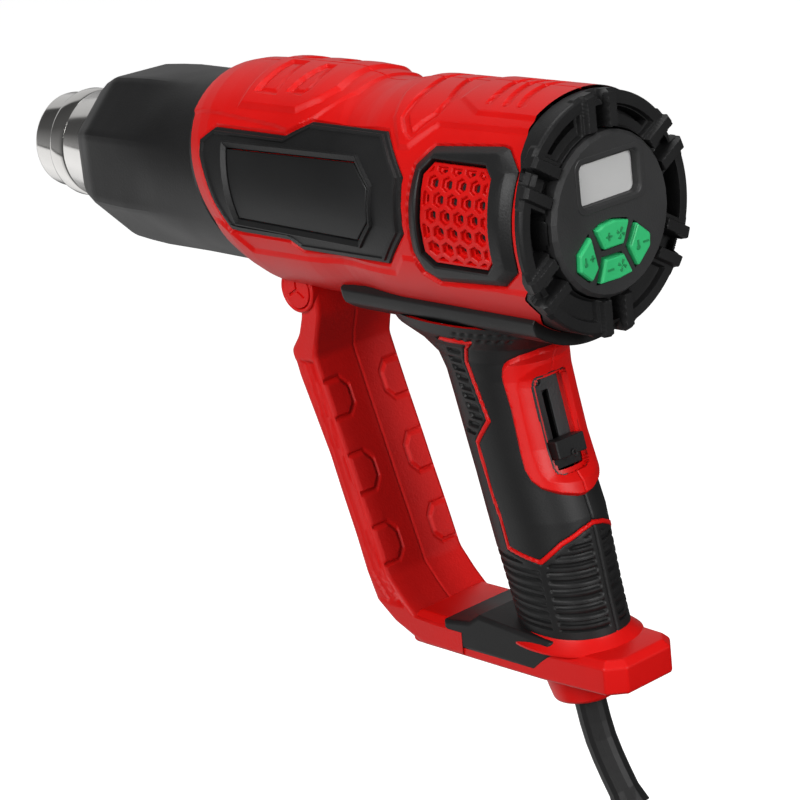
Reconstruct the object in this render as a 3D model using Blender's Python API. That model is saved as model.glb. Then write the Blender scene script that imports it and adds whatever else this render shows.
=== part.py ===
"""Hot-air gun with a guarded grip, a display on its rear cap and a slide switch.

The gun points along +X, +Y is its left side and +Z is up. The origin is the centre of
the grip, where a hand holds it. Lengths below are in millimetres and angles in degrees;
the meshes are made in metres.
"""
from math import cos, sin, radians, degrees, pi, sqrt

import bpy
import bmesh
from mathutils import Vector

MM = 0.001

# ---- driving dimensions -------------------------------------------------------------
AXIS_Z = 98.0            # height of the barrel's axis over the grip's centre
GAP = 0.35               # clearance between neighbouring solids
SEAM = 0.16              # half the gap between the two housing halves
SEGMENTS = 32            # sides of the barrel's round solids

CAP_FRONT_X = -38.0      # where the cap meets the housing
CAP_R = 38.1
LEAN = 0.36              # how far the collar's joint leans forward per mm of height
JOINT_X = 113.5          # the collar's joint on the axis
COLLAR_FRONT_X = 192.0
TUBE_R, TUBE_END_X = 19.9, 214.4
OUTLET_R, OUTLET_END_X = 17.5, 225.6

SIDE_ANGLE = 82.0        # centre of the side panels, from the top of the barrel
PANEL_R = 38.5           # radius on which the side outlines are drawn

# x and arc length along the side, negative upwards
PANEL_OUTLINE = [
    (109.8, -13.3), (103.5, -18.7), (68.6, -18.7), (58.3, -25.0), (23.2, -24.8),
    (10.5, -9.9), (9.8, 9.0), (20.5, 21.6), (61.3, 22.0), (66.5, 18.5), (90.2, 18.5),
    (95.5, 18.0), (100.9, 8.6), (105.3, -1.2), (108.6, -7.6)]
LABEL_OUTLINE = [(94.0, -11.2), (32.5, -12.2), (24.8, -4.6), (25.0, 6.4), (31.1, 13.2), (88.3, 12.1)]
VENT_OUTLINE = [
    (5.3, -14.5), (-0.6, -21.6), (-28.4, -24.2), (-31.2, -23.4), (-38.0, -16.4), (-38.2, 12.6),
    (-38.0, 16.4), (-30.4, 22.8), (-1.4, 25.6), (4.6, 21.8), (6.6, 14.6), (6.2, -2.6)]
GRILLE_OUTLINE = [
    (1.0, -12.0), (-2.6, -16.3), (-25.1, -16.3), (-28.7, -12.6), (-29.1, -4.0), (-29.3, 5.0),
    (-29.3, 13.6), (-26.0, 17.2), (-3.2, 17.4), (0.8, 13.8), (1.0, 5.0), (1.0, -4.0)]
HEX_PITCH = 6.05
HEX_WALL = 1.3

# the guard: inner and outer points of each station along it
GUARD = [
    ((77.0, 66.0), (87.0, 66.0)), ((77.0, 53.0), (86.5, 53.0)), ((80.0, 43.5), (89.2, 45.5)),
    ((81.0, 38.5), (94.0, 39.5)), ((78.3, 30.0), (91.6, 30.5)), ((74.4, 18.0), (86.6, 18.6)),
    ((69.6, 4.0), (80.6, 4.0)), ((66.0, -7.0), (77.0, -8.0)), ((60.8, -22.0), (71.8, -24.0)),
    ((56.3, -35.8), (68.4, -36.4)), ((50.0, -43.0), (65.0, -45.4)), ((44.8, -48.0), (56.0, -52.2)),
    ((34.0, -48.2), (43.5, -58.0)), ((22.0, -48.2), (22.0, -58.0))]
GUARD_HALF = 18.0
GUARD_FACE_HALF = 16.2
BOSS_X, BOSS_Z, BOSS_R, BOSS_HALF = 84.9, 62.3, 8.0, 19.4

# the grip: height, front, back and half-width of each station
GRIP = [
    (66.0, 54.0, -28.0, 27.0), (58.0, 48.0, -22.0, 23.5), (53.0, 38.5, -15.5, 19.5),
    (48.0, 31.5, -12.6, 17.5), (42.0, 28.4, -12.9, 16.9), (33.0, 25.9, -14.6, 16.8),
    (19.5, 22.3, -17.4, 16.8), (8.0, 19.4, -21.2, 16.7), (-4.0, 16.6, -25.2, 16.7),
    (-17.6, 13.2, -27.6, 16.4), (-29.5, 9.9, -29.6, 16.0), (-42.5, 6.5, -32.2, 15.8)]
COVER_WALL = 2.6
CORE_WALL = 2.6
BELLY_R = 42.4
RAIL_ANGLE = 139.0

FOOT_BOTTOM, FOOT_TOP = -58.0, -46.2

SWITCH_LEAN = 12.2       # lean of the grip's back, where the switch slides
SWITCH_X, SWITCH_Z = -10.6, 27.0

DISC_R, DISC_X = 26.4, -45.6
SCREEN_Y, SCREEN_LOW, SCREEN_HIGH = 13.6, 102.0, 116.4

CORD_D = 7.2
SLEEVE_R = 5.3
COIL_R, COIL_TUBE_R = 43.0, 10.8
COIL_CENTRE = (-6.0, -203.0)

SLEEVE_PATH = [(-15.0, -59.0), (-17.2, -70.0), (-20.2, -82.0), (-25.0, -92.5), (-32.2, -105.0)]
RUN_PATH = [
    (-32.8, 0.0, -106.0), (-38.6, 0.6, -117.4), (-44.4, 1.6, -131.0), (-47.8, 3.2, -146.0),
    (-48.7, 4.4, -155.0), (-49.0, 5.6, -166.0)]
TAIL_PATH = [
    (-49.0, -5.8, -240.2), (-48.8, -5.4, -249.0), (-48.2, -5.2, -258.0), (-47.8, -5.2, -268.0)]
PLUG_TOP = -268.5

# ---- materials ----------------------------------------------------------------------
COLOURS = {
    "red_shell": ((0.58, 0.012, 0.010), 0.38, 0.0),
    "black_shell": ((0.016, 0.016, 0.017), 0.5, 0.0),
    "black_rubber": ((0.012, 0.012, 0.012), 0.7, 0.0),
    "green_rubber": ((0.035, 0.50, 0.155), 0.5, 0.0),
    "display_glass": ((0.52, 0.52, 0.52), 0.25, 0.0),
    "polished_steel": ((0.62, 0.61, 0.60), 0.12, 1.0),
    "mica": ((0.45, 0.40, 0.30), 0.6, 0.0),
    "ceramic": ((0.75, 0.70, 0.62), 0.7, 0.0),
    "heater_wire": ((0.25, 0.23, 0.22), 0.4, 1.0),
    "circuit_board": ((0.02, 0.16, 0.05), 0.5, 0.0),
    "zinc_steel": ((0.45, 0.45, 0.46), 0.3, 1.0),
    "white_plastic": ((0.72, 0.72, 0.70), 0.5, 0.0),
    "plated_brass": ((0.60, 0.58, 0.52), 0.25, 1.0),
}


def material(name):
    found = bpy.data.materials.get(name)
    if found:
        return found
    colour, roughness, metallic = COLOURS[name]
    made = bpy.data.materials.new(name)
    made.use_nodes = True
    shader = made.node_tree.nodes["Principled BSDF"]
    shader.inputs["Base Color"].default_value = (*colour, 1.0)
    shader.inputs["Roughness"].default_value = roughness
    shader.inputs["Metallic"].default_value = metallic
    return made


# ---- mesh helpers -------------------------------------------------------------------
def add(name, points, faces, slot="black_shell", origin=(0.0, 0.0, 0.0)):
    """An object from points in millimetres, with its own origin where given."""
    mesh = bpy.data.meshes.new(name)
    base = Vector(origin)
    mesh.from_pydata([(Vector(p) - base) * MM for p in points], [], faces)
    shape = bmesh.new()
    shape.from_mesh(mesh)
    bmesh.ops.recalc_face_normals(shape, faces=shape.faces)
    shape.to_mesh(mesh)
    shape.free()
    thing = bpy.data.objects.new(name, mesh)
    thing.location = base * MM
    mesh.materials.append(material(slot))
    bpy.context.scene.collection.objects.link(thing)
    return thing


def loft(name, sections, slot="black_shell", closed=False, origin=(0.0, 0.0, 0.0)):
    """Skin equal rings of points; the ends are capped unless the loft closes on itself."""
    n = len(sections[0])
    points = [p for ring in sections for p in ring]
    faces = []
    last = len(sections) if closed else len(sections) - 1
    for i in range(last):
        a, b = i * n, (i + 1) % len(sections) * n
        faces += [(a + k, a + (k + 1) % n, b + (k + 1) % n, b + k) for k in range(n)]
    if not closed:
        faces.append(tuple(range(n - 1, -1, -1)))
        faces.append(tuple(range((len(sections) - 1) * n, len(sections) * n)))
    return add(name, points, faces, slot, origin)


def around(x, angle, radius):
    """A point round the barrel's axis; the angle runs from the top towards the left."""
    a = radians(angle)
    return (x, radius * sin(a), AXIS_Z + radius * cos(a))


def ring(x, radius, sides=SEGMENTS, lean=0.0):
    points = []
    for k in range(sides):
        angle = 360.0 * (k + 0.5) / sides
        points.append(around(x + lean * radius * cos(radians(angle)), angle, radius))
    return points


def turned(name, profile, slot="black_shell", sides=SEGMENTS, origin=(0.0, 0.0, 0.0)):
    """Turn a closed profile of (x, radius[, lean]) points round the barrel's axis."""
    rings = [ring(p[0], p[1], sides, p[2] if len(p) > 2 else 0.0) for p in profile]
    return loft(name, rings, slot, closed=True, origin=origin)


def rod(name, profile, slot="black_shell", sides=SEGMENTS, origin=(0.0, 0.0, 0.0)):
    """A turned piece with no bore, from (x, radius) points along the barrel's axis."""
    return loft(name, [ring(p[0], p[1], sides) for p in profile], slot, origin=origin)


def prism(name, outline, y0, y1, slot="black_shell"):
    """An (x, z) outline pushed from y0 to y1."""
    return loft(name, [[(x, y, z) for x, z in outline] for y in (y0, y1)], slot)


def slab(name, outline, z0, z1, slot="black_shell"):
    """An (x, y) outline pushed from z0 to z1."""
    return loft(name, [[(x, y, z) for x, y in outline] for z in (z0, z1)], slot)


def block(name, low, high, slot="black_shell", origin=(0.0, 0.0, 0.0)):
    corners = [(low[0], low[1]), (high[0], low[1]), (high[0], high[1]), (low[0], high[1])]
    return loft(name, [[(x, y, z) for x, y in corners] for z in (low[2], high[2])], slot, origin=origin)


def cylinder(name, start, end, radius, slot="black_shell", sides=24, end_radius=None):
    """A round bar between two points, tapering where the end's radius differs."""
    a, b = Vector(start), Vector(end)
    turn = (b - a).to_track_quat("Z", "Y").to_matrix()
    rings = []
    for centre, r in ((a, radius), (b, end_radius or radius)):
        rings.append([
            tuple(centre + turn @ Vector((r * cos(2 * pi * k / sides), r * sin(2 * pi * k / sides), 0)))
            for k in range(sides)])
    return loft(name, rings, slot)


def hidden(thing):
    thing.hide_render = True
    thing.display_type = "WIRE"
    return thing


def triangulate(thing):
    """Split bent quads, so that every face a Boolean meets is flat."""
    shape = bmesh.new()
    shape.from_mesh(thing.data)
    bmesh.ops.triangulate(shape, faces=[f for f in shape.faces if len(f.verts) > 3])
    shape.to_mesh(thing.data)
    shape.free()


def combine(thing, other, operation="DIFFERENCE"):
    """Apply a Boolean of other to thing, and remove other.

    The solver is MANIFOLD: the exact one leaves open edges in the many-times-cut housing.
    """
    hidden(other)
    triangulate(thing)
    triangulate(other)
    step = thing.modifiers.new("step", "BOOLEAN")
    step.operation = operation
    step.solver = "MANIFOLD"
    step.object = other
    bpy.context.view_layer.update()
    graph = bpy.context.evaluated_depsgraph_get()
    mesh = bpy.data.meshes.new_from_object(thing.evaluated_get(graph))
    thing.modifiers.clear()
    old, thing.data = thing.data, mesh
    bpy.data.meshes.remove(old)
    bpy.data.objects.remove(other)
    return thing


def copy_of(thing, name):
    twin = thing.copy()
    twin.data = thing.data.copy()
    twin.name = name
    bpy.context.scene.collection.objects.link(twin)
    return twin


def mirrored(thing, name):
    """The right-hand twin of a left-hand piece, its faces turned to stay outwards."""
    twin = copy_of(thing, name)
    shape = bmesh.new()
    shape.from_mesh(twin.data)
    bmesh.ops.scale(shape, vec=(1.0, -1.0, 1.0), verts=shape.verts)
    bmesh.ops.reverse_faces(shape, faces=shape.faces)
    shape.to_mesh(twin.data)
    shape.free()
    return twin


def paint(thing, slot):
    thing.data.materials.clear()
    thing.data.materials.append(material(slot))
    return thing


def smooth(thing, angle=35.0):
    thing.data.shade_smooth()
    thing.data.set_sharp_from_angle(angle=radians(angle))


# ---- outlines on the barrel's side --------------------------------------------------
def grown(outline, amount):
    """A polygon moved outwards by amount, with mitred corners."""
    area = sum(a[0] * b[1] - b[0] * a[1] for a, b in zip(outline, outline[1:] + outline[:1]))
    side = 1.0 if area > 0 else -1.0
    result = []
    for before, here, after in zip(outline[-1:] + outline[:-1], outline, outline[1:] + outline[:1]):
        first = Vector(here) - Vector(before)
        second = Vector(after) - Vector(here)
        n1 = Vector((first.y, -first.x)).normalized() * side
        n2 = Vector((second.y, -second.x)).normalized() * side
        mitre = (n1 + n2) / max(0.35, 1.0 + n1.dot(n2))
        result.append(tuple(Vector(here) + mitre * amount))
    return result


def wrapped(name, outline, inner, outer, slot="black_shell", step=12.0):
    """A plate bent round the barrel: outline in (x, arc length) on the left side."""
    shape = bmesh.new()
    shape.faces.new([shape.verts.new((x, s, 0.0)) for x, s in outline])
    low = min(s for _, s in outline)
    high = max(s for _, s in outline)
    at = low + step
    while at < high - 1.0:
        bmesh.ops.bisect_plane(
            shape, geom=shape.verts[:] + shape.edges[:] + shape.faces[:], dist=1e-4,
            plane_co=(0.0, at, 0.0), plane_no=(0.0, 1.0, 0.0))
        at += step
    bmesh.ops.triangulate(shape, faces=[f for f in shape.faces if len(f.verts) > 4])
    made = bmesh.ops.extrude_face_region(shape, geom=shape.faces[:])
    for part in made["geom"]:
        if isinstance(part, bmesh.types.BMVert):
            part.co.z = 1.0
    for vert in shape.verts:
        radius = outer if vert.co.z > 0.5 else inner
        angle = SIDE_ANGLE + degrees(vert.co.y / PANEL_R)
        vert.co = Vector(around(vert.co.x, angle, radius)) * MM
    bmesh.ops.recalc_face_normals(shape, faces=shape.faces)
    mesh = bpy.data.meshes.new(name)
    shape.to_mesh(mesh)
    shape.free()
    mesh.materials.append(material(slot))
    thing = bpy.data.objects.new(name, mesh)
    bpy.context.scene.collection.objects.link(thing)
    return thing


def both_sides(target, make, operation="DIFFERENCE"):
    """Apply a left-hand tool and its mirror image to target."""
    tool = make()
    twin = mirrored(tool, "twin")
    combine(target, tool, operation)
    combine(target, twin, operation)


# ---- grip and guard solids ----------------------------------------------------------
def grip_section(z, front, back, half, grow):
    """A rounded section of the grip, wider at the palm than at the fingers."""
    middle, depth = (front + back) / 2, (front - back) / 2 + grow
    half += grow
    points = []
    for k in range(16):
        a = 2 * pi * (k + 0.5) / 16
        c, s = cos(a), sin(a)
        x = depth * (abs(c) ** 0.9) * (1 if c > 0 else -1)
        y = half * (abs(s) ** 0.9) * (1 if s > 0 else -1) * (1.0 - 0.06 * c)
        points.append((middle + x, y, z))
    return points


def grip_at(z):
    """The grip's front, back and half-width at a height between its stations."""
    for upper, lower in zip(GRIP, GRIP[1:]):
        if lower[0] <= z <= upper[0]:
            t = (z - lower[0]) / (upper[0] - lower[0])
            return [lower[i] + t * (upper[i] - lower[i]) for i in (1, 2, 3)]
    return list(GRIP[0][1:] if z > GRIP[0][0] else GRIP[-1][1:])


def grip_solid(name, grow, top=GRIP[0][0], bottom=GRIP[-1][0]):
    heights = [top] + [s[0] for s in GRIP if bottom < s[0] < top] + [bottom]
    return loft(name, [grip_section(z, *grip_at(z), grow) for z in heights])


def guard_solid(name, shrink=0.0):
    """The bent bar in front of the fingers, chamfered along its outer edges."""
    sections = []
    for inner, outer in GUARD:
        a, b = Vector(inner), Vector(outer)
        along = (b - a).normalized() * shrink
        a, b = a + along, b - along
        wide, face = GUARD_HALF - shrink, GUARD_FACE_HALF - shrink
        mid = a.lerp(b, 0.84)
        sections.append([
            (a.x, wide, a.y), (mid.x, wide, mid.y), (b.x, face, b.y),
            (b.x, -face, b.y), (mid.x, -wide, mid.y), (a.x, -wide, a.y)])
    return loft(name, sections)


FOOT_PLAN = [
    (47.0, 17.4), (8.0, 17.8), (-14.0, 17.8), (-40.4, 16.2), (-45.6, 10.4),
    (-45.6, -10.4), (-40.4, -16.2), (-14.0, -17.8), (8.0, -17.8), (47.0, -17.4)]
SADDLE = [(31.0, -46.0), (31.0, -49.0), (24.5, -55.2), (-12.0, -55.2), (-12.0, -41.0), (14.0, -41.0), (19.0, -44.4)]
SADDLE_HALF, SADDLE_WALL = 17.4, 1.8


def body_profile(grow=0.0):
    """The barrel's outside from its rear to the leaning joint with the collar."""
    stations = [
        (CAP_FRONT_X, 38.3, 0.0), (30.0, 38.2, 0.0), (40.0, 36.6, 0.0), (48.0, 36.4, 0.02),
        (56.0, 38.0, 0.04), (66.0, 38.9, 0.07), (76.0, 38.2, 0.12), (88.0, 38.3, 0.2),
        (96.0, 38.9, 0.28), (105.0, 36.4, 0.34), (JOINT_X - 0.2, 33.4, LEAN)]
    return [(x, r + grow, lean) for x, r, lean in stations]


# ---- the housing --------------------------------------------------------------------
def housing():
    """Both clamshell halves, made whole and then parted along the middle."""
    shell = rod_of("housing", body_profile())
    combine(shell, grip_solid("core", -COVER_WALL, top=66.0, bottom=-50.0), "UNION")
    combine(shell, guard_solid("guard"), "UNION")
    combine(shell, cylinder("boss", (BOSS_X, -BOSS_HALF, BOSS_Z), (BOSS_X, BOSS_HALF, BOSS_Z), BOSS_R), "UNION")
    combine(shell, slab("foot", FOOT_PLAN, FOOT_BOTTOM, FOOT_TOP), "UNION")
    combine(shell, cylinder("cord_boss", (-13.0, 0, -57.0), (-15.6, 0, -68.6), 12.5, end_radius=10.0), "UNION")
    combine(shell, housing_hollow())
    combine(shell, guard_hollow())
    both_sides(shell, lambda: wrapped("tool", grown(PANEL_OUTLINE, 0.55), 34.9, 46.0))
    both_sides(shell, lambda: wrapped("tool", grown(VENT_OUTLINE, 0.55), 34.6, 46.0))
    both_sides(shell, lambda: wrapped("tool", grown(GRILLE_OUTLINE, 1.2), 24.0, 46.0))
    both_sides(shell, lambda: cylinder(
        "tool", (BOSS_X, BOSS_HALF - 2.2, BOSS_Z), (BOSS_X, 30.0, BOSS_Z), 6.3 + GAP))
    combine(shell, block("tool", (-46.0, -9.6, 6.0), (-3.0, 9.6, 49.0)))
    combine(shell, saddle_room())
    combine(shell, cylinder("tool", (-13.5, 0, -50.0), (-19.0, 0, -78.0), SLEEVE_R + GAP))
    screw_holes(shell)
    left = combine(copy_of(shell, "housing_left"), block("tool", (-70, SEAM, -90), (150, 60, 160)), "INTERSECT")
    right = combine(shell, block("tool", (-70, -60, -90), (150, -SEAM, 160)), "INTERSECT")
    right.name = "housing_right"
    for half in (left, right):
        paint(half, "red_shell")
        smooth(half)


def saddle_room():
    """The rebate in the foot that the saddle fills."""
    room = prism("room", grown(SADDLE, GAP), -30.0, 30.0)
    combine(room, grip_solid("core", -COVER_WALL, top=0.0, bottom=-60.0))
    return combine(room, saddle_core(GAP))


def saddle_core(shrink):
    """The foot's own block, which the saddle wraps."""
    half = SADDLE_HALF - SADDLE_WALL - shrink
    return block("core", (-50.0, -half, -60.0), (22.0 - shrink, half, -46.5 - shrink))


def rod_of(name, profile, slot="black_shell", sides=SEGMENTS):
    """A solid of revolution whose stations may lean with the collar's joint."""
    return loft(name, [ring(x, r, sides, lean) for x, r, lean in profile], slot)


def housing_hollow():
    """The room inside the barrel and the grip, with pads left behind the side inserts."""
    hollow = rod_of("hollow", [
        (CAP_FRONT_X - 8.0, 35.4, 0.0), (34.0, 35.4, 0.0), (40.0, 33.8, 0.0), (50.0, 33.8, 0.02),
        (60.0, 35.2, 0.04), (98.0, 35.4, 0.28), (106.0, 32.2, 0.34), (JOINT_X + 6.0, 29.6, LEAN)],
        sides=20)
    for outline, margin in ((PANEL_OUTLINE, 3.2), (VENT_OUTLINE, 2.2)):
        both_sides(hollow, lambda: wrapped("pad", grown(outline, margin), 32.6, 46.0))
    core = grip_solid("tool", -COVER_WALL - CORE_WALL, top=66.0, bottom=-40.0)
    return combine(hollow, core, "UNION")


def guard_hollow():
    """The hollow of the guard's two trays, short of the boss and the foot."""
    hollow = guard_solid("hollow", 2.6)
    combine(hollow, block("keep", (-60, -30, -41.0), (120, 30, 44.0)), "INTERSECT")
    for x, _, z in SCREWS[1:2]:
        combine(hollow, cylinder("post", (x, -30, z), (x, 30, z), 5.2))
    return hollow


SCREWS = [(BOSS_X, 0.0, BOSS_Z), (72.6, 0.0, -10.0), (40.0, 0.0, -53.0), (-38.6, 0.0, -52.0)]
SCREW_HEAD_R, SCREW_R = 3.0, 1.5


def screw_side(index):
    """Where a screw's head sits, as its distance to the right of the middle."""
    return 16.6 if index == 0 else 14.4


def screw_holes(shell):
    for index, (x, _, z) in enumerate(SCREWS):
        seat = screw_side(index)
        combine(shell, cylinder("tool", (x, -30, z), (x, -seat + 2.4 + GAP, z), SCREW_HEAD_R + GAP, sides=16))
        combine(shell, cylinder("tool", (x, -seat + 1.0, z), (x, 9.0, z), SCREW_R + GAP, sides=12))


def screws():
    for index, (x, _, z) in enumerate(SCREWS):
        seat = screw_side(index)
        name = f"housing_screw_{index + 1}"
        screw = cylinder(name, (x, -seat, z), (x, -seat + 2.4, z), SCREW_HEAD_R, "zinc_steel", 16)
        combine(screw, cylinder("shank", (x, -seat + 1.2, z), (x, 8.0, z), SCREW_R, sides=12), "UNION")
        combine(screw, block("slot", (x - 2.0, -seat - 1, z - 0.4), (x + 2.0, -seat + 0.9, z + 0.4)))
        combine(screw, block("slot", (x - 0.4, -seat - 1, z - 2.0), (x + 0.4, -seat + 0.9, z + 2.0)))
        paint(screw, "zinc_steel")
        smooth(screw)


# ---- side inserts -------------------------------------------------------------------
def side_inserts():
    panel = wrapped("side_panel_left", PANEL_OUTLINE, 35.8, 37.4)
    combine(panel, wrapped("tier", grown(PANEL_OUTLINE, -3.4), 36.6, 39.2), "UNION")
    combine(panel, wrapped("recess", grown(LABEL_OUTLINE, GAP), 37.2, 42.0))
    label = wrapped("label_plate_left", LABEL_OUTLINE, 37.9, 38.5)
    frame = wrapped("vent_frame_left", VENT_OUTLINE, 35.4, 39.0)
    combine(frame, wrapped("window", GRILLE_OUTLINE, 30.0, 46.0))
    grille = wrapped("vent_grille_left", grown(GRILLE_OUTLINE, -GAP), 34.6, 37.2, "red_shell")
    for x, s in hex_centres():
        combine(grille, hex_tool(x, s))
    for thing, slot in ((panel, "black_shell"), (label, "black_shell"), (frame, "black_shell"),
                        (grille, "red_shell")):
        paint(thing, slot)
        smooth(mirrored(thing, thing.name.replace("_left", "_right")), 25.0)
        smooth(thing, 25.0)


def hex_centres():
    """Centres of the honeycomb's whole cells."""
    rows = 7
    pitch_s = HEX_PITCH * sqrt(3) / 2
    for row in range(rows):
        s = 1.2 + (row - 3) * pitch_s
        shift = 0.5 * (row % 2)
        for column in range(-4, 3):
            x = -7.2 + (column + shift) * HEX_PITCH
            if inside(grown(GRILLE_OUTLINE, -GAP - 3.4), (x, s)):
                yield x, s


def inside(outline, point):
    hit = False
    for (x0, y0), (x1, y1) in zip(outline, outline[1:] + outline[:1]):
        if (y0 > point[1]) != (y1 > point[1]) and point[0] < x0 + (point[1] - y0) * (x1 - x0) / (y1 - y0):
            hit = not hit
    return hit


def hex_tool(x, s):
    radius = (HEX_PITCH - HEX_WALL) / sqrt(3)
    corners = [(x + radius * sin(pi * k / 3), s + radius * cos(pi * k / 3)) for k in range(6)]
    return wrapped("cell", corners, 30.0, 46.0, step=60.0)


def boss_caps():
    for side, name in ((1, "guard_boss_cap_left"), (-1, "guard_boss_cap_right")):
        y0 = BOSS_HALF - 2.2 + GAP
        cap = cylinder(name, (BOSS_X, side * y0, BOSS_Z), (BOSS_X, side * (BOSS_HALF + 0.1), BOSS_Z), 6.3, "red_shell", 24)
        for angle in (90.0, 210.0, 330.0):
            a = radians(angle)
            tip = (BOSS_X + 4.2 * cos(a), BOSS_Z + 4.2 * sin(a))
            off = (0.5 * sin(a), -0.5 * cos(a))
            groove = [(BOSS_X + off[0], BOSS_Z + off[1]), (tip[0] + off[0], tip[1] + off[1]),
                      (tip[0] - off[0], tip[1] - off[1]), (BOSS_X - off[0], BOSS_Z - off[1])]
            depth = sorted((side * (BOSS_HALF - 0.7), side * (BOSS_HALF + 2.0)))
            combine(cap, prism("groove", groove, depth[0], depth[1]))
        paint(cap, "red_shell")
        smooth(cap)


# ---- grip covers --------------------------------------------------------------------
def grip_covers():
    """The rubber shells over the grip, the barrel's underside and the saddle in front."""
    cover = grip_solid("grip_cover_left", 0.0, top=62.0, bottom=-42.5)
    combine(cover, belly(), "UNION")
    combine(cover, prism("saddle", SADDLE, -SADDLE_HALF, SADDLE_HALF), "UNION")
    combine(cover, grip_solid("tool", GAP - COVER_WALL, top=66.0, bottom=-60.0))
    combine(cover, rod_of("tool", [(x, r, lean) for x, r, lean in body_profile(GAP)]))
    combine(cover, saddle_core(0.0))
    combine(cover, bezel_solid("tool", 3.0, GAP))
    combine(cover, guard_tool())
    combine(cover, block("tool", (-80, SEAM, -90), (150, 60, 160)), "INTERSECT")
    paint(cover, "black_rubber")
    smooth(mirrored(cover, "grip_cover_right"))
    smooth(cover)


def guard_tool():
    """Clears the saddle's front from the guard."""
    return block("tool", (31.2, -30, -70), (60, 30, -30))


def belly():
    """A band round the barrel's underside whose upper edges are the two rails."""
    sections = []
    for k in range(11):
        angle = RAIL_ANGLE + (360.0 - 2 * RAIL_ANGLE) * k / 10
        lift = 40.2 if k in (0, 10) else BELLY_R
        sections.append([
            around(-33.0, angle, 36.5), around(54.5, angle, 36.0),
            around(57.0, angle, lift - 1.2), around(55.5, angle, lift),
            around(-33.0, angle, lift)])
    return loft("belly", sections)


# ---- switch -------------------------------------------------------------------------
def on_back(along, out):
    """A point on the grip's back: distance up the slide and out from the plate."""
    a = radians(SWITCH_LEAN)
    return (SWITCH_X + along * sin(a) - out * cos(a), SWITCH_Z + along * cos(a) + out * sin(a))


def back_block(name, along, half, out, slot="black_shell", origin=(0.0, 0.0, 0.0)):
    """A block square to the grip's back; along and out are (low, high) pairs."""
    corners = [on_back(along[0], out[0]), on_back(along[1], out[0]),
               on_back(along[1], out[1]), on_back(along[0], out[1])]
    return loft(name, [[(x, y, z) for x, z in corners] for y in (-half, half)], slot, origin=origin)


def bezel_solid(name, out, spare=0.0):
    """The part of the swollen grip behind the bezel's front edge."""
    shape = grip_solid(name, out, top=56.0, bottom=-6.0)
    side = [(-44.0, 54.0 + spare), (-9.0 + spare, 51.0 + spare), (-6.6 + spare, 46.0),
            (-12.9 + spare, 16.0), (-15.6 + spare, 9.0), (-20.0 + spare, 4.6 - spare), (-46.0, 0.6 - spare)]
    return combine(shape, prism("keep", side, -40.0, 40.0), "INTERSECT")


def switch():
    bezel = bezel_solid("switch_bezel", 1.6)
    combine(bezel, grip_solid("tool", GAP - COVER_WALL, top=70.0, bottom=-20.0))
    combine(bezel, back_block("tool", (-17.4, 17.0), 7.6, (-20.0, 20.0)))
    combine(bezel, rod_of("tool", [(x, r, lean) for x, r, lean in body_profile(GAP)]))
    paint(bezel, "red_shell")
    smooth(bezel)
    plate = back_block("switch_plate", (-17.0, 16.6), 7.2, (-0.6, 0.6))
    combine(plate, back_block("tool", (-14.6, 9.0), 1.4, (-5.0, 5.0)))
    paint(plate, "black_shell")
    knob = back_block("switch_slider", (-16.4, -6.8), 6.6, (1.0, 6.6))
    combine(knob, back_block("stem", (-12.4, -10.2), 0.9, (-6.0, 2.0)), "UNION")
    combine(knob, back_block("step", (-20.0, -12.8), 20.0, (3.0, 12.0)))
    paint(knob, "black_shell")
    body = back_block("switch_body", (-17.0, 14.0), 7.4, (-16.5, -1.6))
    combine(body, back_block("tool", (-14.6, 8.0), 1.6, (-7.0, 5.0)))
    paint(body, "black_shell")


# ---- rear cap, console and buttons --------------------------------------------------
RIB_ANGLES = [60.0 * k for k in range(6)]


def rear_cap():
    cap = turned("rear_cap", [
        (-31.0, 32.0), (-31.0, 30.2), (-41.0, 29.8), (-41.4, 24.0), (-43.4, 24.0), (-43.4, 33.6),
        (-43.2, 37.0), (-42.0, CAP_R), (CAP_FRONT_X - GAP, CAP_R), (CAP_FRONT_X - GAP, 32.0)])
    for angle in RIB_ANGLES:
        combine(cap, radial_block(angle + 30.0, -50.0, -30.0, 27.2, 33.4, 12.2))
        combine(cap, radial_block(angle, -50.0, -39.5, 26.9, 50.0, 2.1))
    for angle in RIB_ANGLES:
        for side in (-1, 1):
            combine(cap, radial_block(angle, -45.2, -40.6, 25.0, 37.9, 2.0, side * 4.7), "UNION")
    combine(cap, turned("console_seat", [(-60.0, 1.0), (-60.0, DISC_R + GAP), (-30.0, DISC_R + GAP), (-30.0, 1.0)]))
    paint(cap, "black_shell")
    smooth(cap)


def radial_block(angle, x0, x1, inner, outer, half, shift=0.0):
    """A block standing out from the barrel's axis, half wide each way and moved sideways."""
    a = radians(angle)
    out, across = Vector((0, sin(a), cos(a))), Vector((0, cos(a), -sin(a)))
    axis = Vector((0, 0, AXIS_Z))
    corners = [axis + out * r + across * (shift + w) for r, w in (
        (inner, -half), (outer, -half), (outer, half), (inner, half))]
    return loft("radial", [[(x, p.y, p.z) for p in corners] for x in (x0, x1)])


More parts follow.
